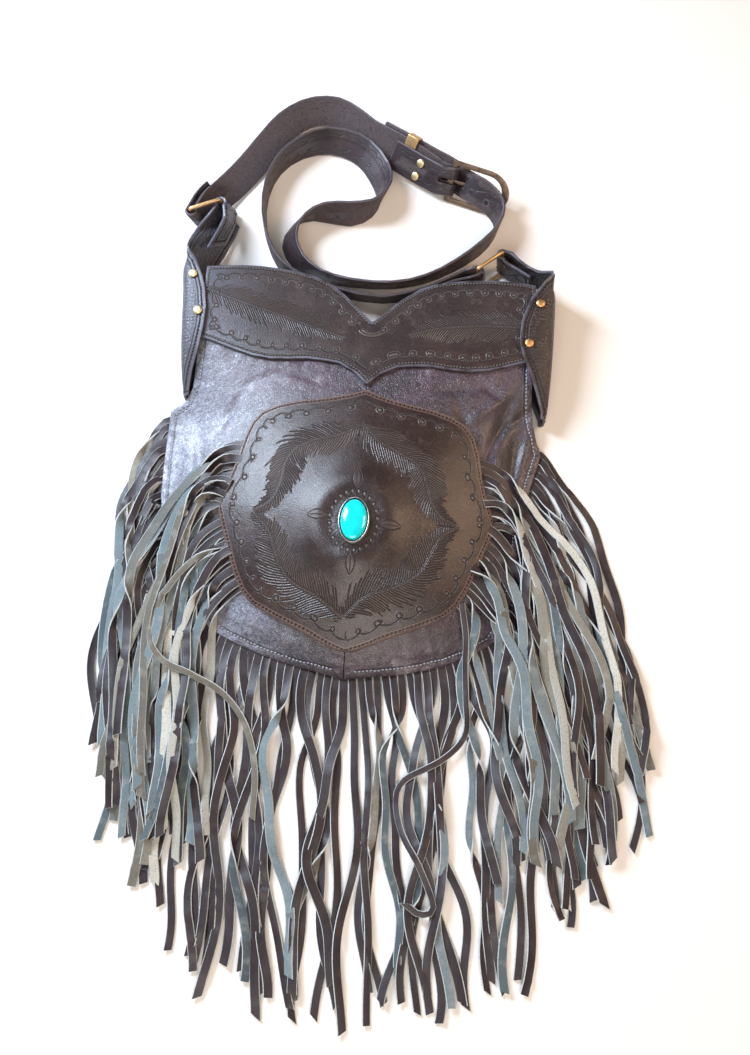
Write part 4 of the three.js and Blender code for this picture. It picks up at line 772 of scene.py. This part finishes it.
# Leaves round the stone's seat: middle, way, half length and half width
stone_y = -0.01295
seat_leaves = [(0, 0.0393, 0, 1, 0.0105, 0.0040), (-0.0318, 0.004, 1, 0, 0.0095, 0.0042),
               (0.0318, -0.001, 1, 0, 0.0095, 0.0042), (0, -0.0375, 0, 1, 0.0092, 0.0038)]
shield_pitch, shield_stitch, shield_inset = 0.0186, 0.00372, 0.0029
shield_leather = tooled_leather("shield_leather", (shield_stitch, shield_inset, 0.0009),
                                border=(shield_pitch, 0.0108, 0.0025), feather=True,
                                seat=(stone_y, 0.0206, 0.0268, 24, seat_leaves),
                                strip=(0.17, 0.10, 0.082), raw=(0.22, 0.145, 0.115), edge_at=0.0002)
shield = leather_copy("shield", "centre_shield", 3)
rims, _ = mark_rim(shield, "shield", stiff_thick, shield_pitch)
inside = draw_feathers(shield, shield_feathers, 0.0168)
co = vertex_array(shield)
reach = np.hypot(co[:, 0], (co[:, 1] - stone_y) * 0.88)
swell = 0.0024 * np.exp(-((reach - 0.034) / 0.010) ** 2) - 0.0006 * np.exp(-((reach - 0.0215) / 0.004) ** 2)
co[:, 2] += swell * eased(0.012, 0.018, reach) + 0.0006 * np.clip(inside, 0, 1) ** 0.7
move_vertices(shield, co)
finish_piece(shield, shield_leather, "tooled_leather", "shield")
thread = Thread("shield_stitches", 0.0019)
thread.follow(shield, rims, shield_inset, shield_stitch, shield_pitch, lambda place, normal: normal.z > 0.3)
thread.build(brown_thread, "tooled_leather")


# Seams of the pouch: a row of bright stitches through both panels, just inside the edge that the
# fringe is sewn into, from below the yoke down and round to the middle seam.
def below_yoke(place, normal):
    return normal.z > 0.1 and place.y < 0.16 and abs(place.x) > 0.009


seam_stitch = 0.0034
seam_thread = Thread("seam_stitches", 0.0024, 0.0006)
for side in ("left", "right"):
    panel = bpy.data.objects[f"pouch_front_{side}"]
    rims = rim_of(f"front_panel_{side}", panel_thick)
    seam_thread.follow(panel, rims, seam_inset, seam_stitch, seam_stitch, below_yoke, steep=True)
seam_thread.build(bright_thread, "soft_leather")


# Fringe: strips 7 to 8 mm wide, cut from the same hide, smooth on one face and suede on the other,
# sewn into the pouch's seams and under the shield. Each lies on whatever is below it, turns over
# here and there and shows its pale cut edges.
class Pile:
    """Height of what lies on the floor, on a grid of small squares."""

    def __init__(self, low, high, cell):
        self.low, self.cell = np.array(low), cell
        self.size = np.ceil((np.array(high) - self.low) / cell).astype(int)
        self.tops = np.zeros(self.size)

    def index(self, places):
        spots = ((places - self.low) / self.cell).astype(int)
        return tuple(np.clip(spots, 0, self.size - 1).T)

    def under(self, middle, across, half):
        """Highest place below a strip's width at each point of its line."""
        side = across * half[:, None]
        heights = [self.tops[self.index(middle + side * share)] for share in (-1.1, -0.55, 0, 0.55, 1.1)]
        return np.max(heights, axis=0)

    def cover(self, middle, across, half, tops):
        side = across * half[:, None]
        for share in np.linspace(-1, 1, 7):
            np.maximum.at(self.tops, self.index(middle + side * share), tops)

    def rest_on(self, pieces):
        trees = [tree_of(piece) for piece in pieces]
        for i in range(self.size[0]):
            for j in range(self.size[1]):
                x, y = self.low + (np.array((i, j)) + 0.5) * self.cell
                for tree in trees:
                    hit = tree.ray_cast(Vector((x, y, 0.2)), Vector((0, 0, -1)))[0]
                    if hit is not None:
                        self.tops[i, j] = max(self.tops[i, j], hit.z)


def along_line(points, share):
    """Place and direction at a share of the length of a line of flat points."""
    line = np.array(points, float)
    steps = np.linalg.norm(np.diff(line, axis=0), axis=1)
    goal = share * steps.sum()
    travelled = 0.0
    for k, length in enumerate(steps):
        if goal <= travelled + length or k == len(steps) - 1:
            way = (line[k + 1] - line[k]) / length
            return line[k] + way * (goal - travelled), way
        travelled += length


strip_thick = 0.0016
strip_points = 56
seam_depth = 0.0045
lowest_tip, tip_spread = -0.419, 0.008


class Strips:
    """One fringe: a joined mesh of all its strips."""

    def __init__(self, name):
        self.name = name
        self.verts, self.faces, self.sides, self.tone = [], [], [], []

    def lay(self, line, half, pile, tone, turns, rng, root_height=None):
        """Lays one strip along a flat line; `turns` lists where it turns over, as shares of its length."""
        count = len(line)
        share = np.linspace(0, 1, count)
        way = np.gradient(line, axis=0)
        way /= np.linalg.norm(way, axis=1)[:, None]
        across = np.stack([-way[:, 1], way[:, 0]], axis=1)
        turned = np.zeros(count)
        for place, sign, length in turns:
            turned += sign * math.pi * eased(place - length / 2, place + length / 2, share)
        sway = np.sin(share * rng.uniform(5, 11) + rng.uniform(0, 6))
        turned += (0.25 * sway + rng.uniform(-0.2, 0.2)) * eased(0.02, 0.15, share)
        flat = np.abs(np.cos(turned))
        lift = half * np.abs(np.sin(turned))
        base = pile.under(line, across, half * np.maximum(flat, 0.35))
        if root_height is not None:
            inside = share < 0.035
            base[inside] = np.minimum(base[inside], root_height)
        step = np.linalg.norm(line[1] - line[0])
        height = base + 0.0003
        for _ in range(2):
            for k in range(1, count):
                height[k] = max(height[k], height[k - 1] - 0.45 * step)
            for k in range(count - 2, -1, -1):
                if root_height is None or share[k] > 0.03:
                    height[k] = max(height[k], height[k + 1] - 0.45 * step)
        middle = height + strip_thick / 2 + lift
        soft = np.convolve(np.pad(middle, 3, mode="edge"), np.ones(7) / 7, mode="valid")
        middle = np.maximum(soft, base + strip_thick / 2 + 0.6 * lift)
        if root_height is not None:
            middle[share < 0.035] = root_height + strip_thick / 2
        pile.cover(line, across, half * np.maximum(flat, 0.3), middle + strip_thick / 2 + 0.25 * lift)
        self.skin(line, middle, across, way, turned, half, tone, rng)

    def skin(self, line, middle, across, way, turned, half, tone, rng):
        """Adds a strip's mesh: eight-sided, a little cupped, with its tip cut on a slant."""
        start = len(self.verts)
        cup = rng.uniform(-0.0006, 0.0008)
        slant = rng.uniform(-0.004, 0.004)
        inner = 1 - 0.00055 / half
        section = ((-inner, 1), (0, 1), (inner, 1), (1, 0), (inner, -1), (0, -1), (-inner, -1), (-1, 0))
        for k, (x, y) in enumerate(line):
            c, s = math.cos(turned[k]), math.sin(turned[k])
            side = Vector((across[k][0] * c, across[k][1] * c, s))
            face = Vector((-across[k][0] * s, -across[k][1] * s, c))
            centre = Vector((x, y, middle[k]))
            for v, w in section:
                spot = centre + side * (half * v) + face * (w * strip_thick / 2 + cup * (v * v - 0.5))
                if k == len(line) - 1:
                    spot += Vector((way[k][0], way[k][1], 0)) * (slant * v)
                self.verts.append(spot)
                self.tone.append(tone)
        for k in range(len(line) - 1):
            a, b = start + 8 * k, start + 8 * (k + 1)
            for m in range(8):
                n = (m + 1) % 8
                self.faces.append((a + m, a + n, b + n, b + m))
                self.sides.append((0, 0, 2, 2, 1, 1, 2, 2)[m])
        last = start + 8 * (len(line) - 1)
        self.faces.append(tuple(start + m for m in range(7, -1, -1)))
        self.faces.append(tuple(last + m for m in range(8)))
        self.sides += [2, 2]

    def build(self, *nodes):
        piece = new_piece(self.name, self.verts, self.faces)
        for material in (strip_smooth, strip_suede, strip_edge):
            piece.data.materials.append(material)
        piece.data.polygons.foreach_set("material_index", self.sides)
        store(piece, "tone", self.tone)
        bpy.ops.object.mode_set(mode="EDIT")
        bpy.ops.mesh.select_all(action="SELECT")
        bpy.ops.mesh.normals_make_consistent(inside=False)
        bpy.ops.object.mode_set(mode="OBJECT")
        bpy.ops.object.shade_smooth_by_angle(angle=math.radians(50))
        finish_piece(piece, None, "fringe_suede", *nodes)


def strip_finishes():
    smooth = Finish("strip_smooth_face", Specular_IOR_Level=0.6)
    cloud = smooth.noise(0.012, 4)
    tone = smooth.ramp(cloud, (0.2, (0.013, 0.0065, 0.008)), (0.6, (0.028, 0.016, 0.019)),
                       (0.9, (0.066, 0.046, 0.054)))
    grain = smooth.noise(0.0012, 2)
    smooth.wear(colour=tone, roughness=0.38 + cloud * 0.2, normal=smooth.bump(grain, 0.0002))
    suede = Finish("strip_suede_face", Roughness=0.95, Sheen_Weight=0.35, Sheen_Roughness=0.5)
    shades = suede.ramp(suede.attribute("tone"), (0, (0.045, 0.060, 0.068)), (0.3, (0.095, 0.130, 0.145)),
                        (0.55, (0.19, 0.245, 0.265)), (0.72, (0.145, 0.128, 0.100)),
                        (0.85, (0.27, 0.25, 0.20)), (1, (0.58, 0.56, 0.49)))
    nap = suede.noise(0.0013, 4, rough=0.65)
    worn = suede.noise(0.009, 4)
    shades = suede.mix(nap.rise(0.5, 0.72) * 0.65, shades, (0.06, 0.065, 0.07))
    shades = suede.mix(worn.rise(0.5, 0.75) * 0.3, shades, (0.42, 0.42, 0.38))
    suede.wear(colour=shades, normal=suede.bump(nap, 0.0004))
    edge = Finish("strip_cut_edge", Roughness=0.9)
    fibre = edge.noise(0.0015, 3)
    edge.wear(colour=edge.ramp(fibre, (0.2, (0.34, 0.38, 0.39)), (0.8, (0.72, 0.74, 0.71))))
    return smooth.material, suede.material, edge.material


strip_smooth, strip_suede, strip_edge = strip_finishes()


def between(rows, share):
    """Values of a table, whose first column is a share, at a place between two rows."""
    table = np.array(rows, float)
    return [np.interp(share, table[:, 0], table[:, k]) for k in range(1, table.shape[1])]


def bezier(p0, p1, p2, p3):
    t = np.linspace(0, 1, 80)[:, None]
    return (1 - t) ** 3 * p0 + 3 * (1 - t) ** 2 * t * p1 + 3 * (1 - t) * t * t * p2 + t ** 3 * p3


def hang(root, way, aim, tip, fall, wander, rng):
    """Flat line of a strip from inside its seam, out by `aim` and down to its tip, with loose waves."""
    out = np.array((way[1], -way[0]))
    line = bezier(root - out * seam_depth, root + out * aim, tip + fall, tip)
    line = evenly(line, strip_points * 2)
    t = np.linspace(0, 1, len(line))
    sway = np.zeros(len(line))
    for waves in (0.7, 1.3, 2.6):
        size = wander * rng.uniform(0.3, 1.0) / (waves + 0.3) ** 1.3
        sway += size * np.sin(2 * math.pi * (waves * rng.uniform(0.8, 1.2) * t + rng.random()))
    sway = (sway - sway[0]) * eased(0.04, 0.3, t)
    sway -= 0.75 * sway[-1] * t
    ways = np.gradient(line, axis=0)
    ways /= np.linalg.norm(ways, axis=1)[:, None]
    line = line + np.stack([-ways[:, 1], ways[:, 0]], axis=1) * sway[:, None]
    return evenly(line, strip_points)


def turns_of(rng, likely, first=(0.12, 0.3)):
    """Where a strip turns over: mostly near its top, sometimes back again further down."""
    turns = []
    if rng.random() < likely:
        turns.append((rng.uniform(*first), rng.choice((-1, 1)), rng.uniform(0.1, 0.2)))
        if rng.random() < 0.3:
            turns.append((rng.uniform(0.5, 0.8), rng.choice((-1, 1)), rng.uniform(0.08, 0.16)))
    elif rng.random() < 0.18:
        turns.append((rng.uniform(0.4, 0.8), rng.choice((-1, 1)), rng.uniform(0.1, 0.18)))
    return turns


# Where each fringe starts, and its tips by share along it: x, y, then how it falls there (metres)
seam_lines = {
    "side_left": [(-0.184, 0.106), (-0.185, 0.077), (-0.184, 0.047), (-0.182, 0.016), (-0.176, -0.020),
                  (-0.163, -0.050), (-0.147, -0.074), (-0.131, -0.092)],
    "side_right": [(0.168, 0.093), (0.164, 0.075), (0.158, 0.055), (0.152, 0.030), (0.149, 0.000),
                   (0.147, -0.030), (0.143, -0.060), (0.135, -0.085)],
    "bottom": [(-0.131, -0.092), (-0.120, -0.104), (-0.099, -0.113), (-0.075, -0.122), (-0.039, -0.131),
               (0, -0.139), (0.050, -0.131), (0.085, -0.122), (0.110, -0.109), (0.127, -0.098),
               (0.135, -0.085)],
    "shield_left": [(-0.107, 0.070), (-0.111, 0.050), (-0.117, 0.028), (-0.126, 0.007), (-0.119, -0.013),
                    (-0.111, -0.036), (-0.103, -0.057), (-0.095, -0.073)],
    "shield_right": [(0.107, 0.070), (0.111, 0.050), (0.117, 0.028), (0.126, 0.007), (0.119, -0.013),
                     (0.111, -0.036), (0.103, -0.057), (0.095, -0.073)],
}
tips = {
    "side_left": [(0, -0.201, -0.205, -0.012, 0.13), (0.35, -0.190, -0.250, -0.012, 0.12),
                  (0.7, -0.160, -0.290, -0.012, 0.12), (1, -0.134, -0.325, -0.010, 0.12)],
    "side_right": [(0, 0.262, -0.175, -0.030, 0.11), (0.35, 0.246, -0.238, -0.020, 0.11),
                   (0.7, 0.220, -0.290, -0.020, 0.11), (1, 0.190, -0.325, -0.015, 0.11)],
    "bottom": [(0, -0.118, -0.380, 0.004, 0.11), (0.5, 0.022, -0.410, -0.008, 0.11),
               (1, 0.170, -0.375, -0.012, 0.11)],
    "shield_left": [(0, -0.181, -0.205, -0.012, 0.14), (0.5, -0.150, -0.262, -0.012, 0.14),
                    (1, -0.108, -0.300, -0.012, 0.12)],
    "shield_right": [(0, 0.226, -0.205, -0.012, 0.14), (0.5, 0.186, -0.262, -0.010, 0.14),
                     (1, 0.142, -0.305, -0.008, 0.12)],
}


def hang_fringe(strips, group, count, aim, wander, likely, tones, pile, seed, root_height=None):
    """Lays a whole row of strips in a loose order, so that neighbours cross here and there."""
    rng = random.Random(seed)
    order = list(range(count))
    rng.shuffle(order)
    line = seam_lines[group]
    inward = 1 if group in ("side_left", "bottom", "shield_left") else -1
    for k in order:
        share = (k + 0.5) / count
        root, way = along_line(line, 0.01 + 0.98 * share)
        x, y, fall_x, fall_y = between(tips[group], share)
        tip = np.array((x + rng.gauss(0, tip_spread), max(lowest_tip, y + rng.gauss(0, tip_spread * 1.4))))
        fall = np.array((fall_x + rng.gauss(0, 0.006), fall_y * rng.uniform(0.8, 1.15)))
        path = hang(root, way * inward, aim * rng.uniform(0.75, 1.25), tip, fall, wander, rng)
        half = rng.uniform(0.0033, 0.0043)
        tone = min(1, max(0, rng.gauss(*tones)))
        first = (0.12, 0.3) if root_height else (0.03, 0.2)
        strips.lay(path, half, pile, tone, turns_of(rng, likely, first), rng, root_height)


loose = Pile((-0.25, -0.45), (0.31, 0.13), 0.0015)
loose.rest_on([back_piece])
sewn_at = 0.0025
for group, count, aim, wander, likely, tones, seed in (
    ("bottom", 40, 0.034, 0.013, 0.16, (0.38, 0.22), 11),
    ("side_left", 27, 0.030, 0.012, 0.4, (0.5, 0.25), 12),
    ("side_right", 34, 0.024, 0.014, 0.3, (0.6, 0.2), 13),
):
    strips = Strips(f"strips_{group}")
    hang_fringe(strips, group, count, aim, wander, likely, tones, loose, seed, sewn_at)
    strips.build(f"fringe_{group}")

# One strip lies in an arc over the left group and one in a loop over the bottom one: its tone, where
# it turns over and its points
strays = {
    "shield_left": (0.74, [(0.06, 1, 0.1)], [
        (-0.112, -0.030), (-0.146, -0.052), (-0.166, -0.086), (-0.1695, -0.117), (-0.156, -0.137),
        (-0.130, -0.147), (-0.103, -0.1592), (-0.0805, -0.1844), (-0.068, -0.222), (-0.066, -0.262)]),
    "shield_right": (0.35, [], [
        (0.0985, -0.068), (0.1041, -0.0955), (0.1052, -0.1188), (0.1074, -0.1486), (0.108, -0.1796),
        (0.0879, -0.2032), (0.0593, -0.2203), (0.0529, -0.2373), (0.0597, -0.2644),
        (0.0764, -0.2918), (0.0887, -0.3204), (0.0785, -0.3266), (0.0658, -0.3191)]),
}
loose.rest_on([bpy.data.objects["pouch_front_left"], bpy.data.objects["pouch_front_right"]])
for group, count, aim, wander, likely, tones, seed in (
    ("shield_left", 26, 0.052, 0.010, 0.75, (0.68, 0.26), 14),
    ("shield_right", 22, 0.042, 0.012, 0.6, (0.6, 0.25), 15),
):
    strips = Strips(f"strips_{group}")
    hang_fringe(strips, group, count, aim, wander, likely, tones, loose, seed)
    tone, turns, points = strays[group]
    strips.lay(smooth_curve(points, strip_points), 0.0028, loose, tone, turns, random.Random(seed))
    strips.build(f"fringe_{group}")


# Straps: latigo leather 30 mm wide with burnished edges, tooled along both edges outside and bare
# suede inside, with a punched hole where the free end lies past the buckle.
strap_thick = 0.0032
strap_pitch = 0.013
free_hole = (0.1033, 0.3568, 0.017)


def strap_finish():
    hide = Finish("strap_leather", Specular_IOR_Level=0.7)
    rim, run, inner = hide.attribute("rim"), hide.attribute("run"), hide.attribute("inner")
    pores = hide.noise(0.0009, 3)
    tone = hide.ramp(hide.noise(0.04, 4), (0.25, (0.018, 0.0095, 0.013)), (0.6, (0.038, 0.022, 0.029)),
                     (0.85, (0.060, 0.039, 0.048)))
    across = abs((run % strap_pitch) - strap_pitch / 2)
    bend = across / (strap_pitch / 2)
    arc = (rim - 0.0062 - bend * bend * 0.0026).band(0, 0.0003, 0.0005)
    line = rim.band(0.0036, 0.0002, 0.0004)
    cusp, down = across - strap_pitch / 2, rim - 0.0108
    fleck = (cusp * cusp + down * down).power(0.5)
    press = arc.most(line).most(fleck.band(0.0011, 0.0002, 0.0005))
    suede_tone = hide.ramp(hide.noise(0.0011, 4), (0.3, (0.038, 0.025, 0.028)), (0.7, (0.085, 0.060, 0.060)))
    spots = hide.noise(0.0035, 3).rise(0.58, 0.68)
    suede_tone = hide.mix(spots * 0.75, suede_tone, (0.02, 0.016, 0.016))
    # Painted shade in the tooled marks.
    tone = hide.mix(press * 0.8, tone, (0.006, 0.004, 0.0045))
    tone = hide.mix(inner, tone, suede_tone)
    spot = hide.node("ShaderNodeSeparateXYZ", {}, {"Vector": hide.place})
    x, y, z = (spot[axis] - at for axis, at in zip("XYZ", free_hole))
    off = (x * x + y * y + z * z).power(0.5)
    # The punched hole is only painted: a dark disc for its shaded inside, and a lighter ring round it as a
    # painted highlight on its rim.
    punched = off.rise(0.0026, 0.0021)
    tone = hide.mix(off.band(0.0032, 0.0003, 0.0005) * 0.6, tone, (0.16, 0.13, 0.14))
    tone = hide.mix(punched, tone, (0.002, 0.0015, 0.0015))
    edge = rim.rise(0.0013, 0.0003)
    tone = hide.mix(edge * 0.9, tone, (0.15, 0.135, 0.175))
    gloss = 0.36 + pores * 0.14 + press * 0.2 + inner * 0.45 - edge * inner * 0.4
    height = 0.5 - press * 0.45 * (1 - inner) + pores * (0.1 + inner * 0.25) - punched
    return hide.wear(colour=tone, roughness=gloss, normal=hide.bump(height, 0.0008))


strap_leather = strap_finish()
for node in ("strap_long", "strap_short"):
    strap = leather_copy(node, f"shoulder_{node}", 2, rounds=1)
    _, line = mark_rim(strap, node, strap_thick, strap_pitch)
    store(strap, "inner", line == 0)
    finish_piece(strap, strap_leather, "tooled_leather", node)


# Metalwork: solid brass rings and keeper, a bronzed buckle, and domed rivets of pale brass, or of
# copper gold on the right side piece, all a little scratched.
def metal(name, colour, dull, roughness):
    made = Finish(name, Metallic=1.0)
    cloud = made.noise(0.006, 4)
    scratches = made.noise(0.0006, 2, stretch=(1, 6, 2))
    tone = made.mix(cloud.rise(0.45, 0.75), colour, dull)
    gloss = roughness + cloud * 0.15 + scratches * 0.08
    return made.wear(colour=tone, roughness=gloss, normal=made.bump(scratches, 0.00006))


brass = metal("brass", (0.72, 0.47, 0.23), (0.48, 0.28, 0.12), 0.32)
bronze = metal("bronze", (0.24, 0.17, 0.13), (0.12, 0.08, 0.06), 0.28)
for side in ("left", "right"):
    ring = leather_copy(f"ring_{side}", f"strap_ring_{side}", 2)
    finish_piece(ring, brass, "brass", f"ring_{side}")
keeper = leather_copy("strap_keeper", "brass_keeper", 1)
finish_piece(keeper, brass, "brass", "strap_keeper")
for node, name in (("buckle_frame", "buckle_loop"), ("buckle_prong", "buckle_tongue")):
    finish_piece(leather_copy(node, name, 2), bronze, "bronze", node)
pale_brass = metal("pale_brass", (0.86, 0.72, 0.40), (0.66, 0.50, 0.26), 0.36)
copper = metal("copper_gold", (0.74, 0.43, 0.20), (0.46, 0.25, 0.11), 0.36)
for node in sorted(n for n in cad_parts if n.startswith("rivet_")):
    cap = leather_copy(node, node.replace("rivet", "stud"), 2, 0.0003)
    finish_piece(cap, copper if "right" in node else pale_brass, "brass", node)


# Stone: a polished turquoise oval with dark cracks, held by the thin rim of a plated setting that
# sits on the shield.
turquoise = Finish("turquoise", Roughness=0.12, Coat_Weight=0.6, Coat_Roughness=0.05)
veins = turquoise.noise(0.006, 5, rough=0.65)
blue = turquoise.ramp(veins, (0, (0.0, 0.42, 0.46)), (0.5, (0.005, 0.72, 0.74)), (1, (0.03, 0.9, 0.86)))
cracks = turquoise.cells(0.0042, "DISTANCE_TO_EDGE").rise(0.03, 0.0) * veins.rise(0.46, 0.56)
stone_material = turquoise.wear(colour=turquoise.mix(cracks * 0.55, blue, (0.0, 0.12, 0.13)))
plated = metal("plated_setting", (0.66, 0.64, 0.6), (0.4, 0.38, 0.36), 0.2)
finish_piece(leather_copy("stone", "turquoise_oval", 2, 0.0003), stone_material, "turquoise", "stone")
finish_piece(leather_copy("stone_bezel", "oval_setting", 1, 0.0003), plated, "setting_metal", "stone_bezel")
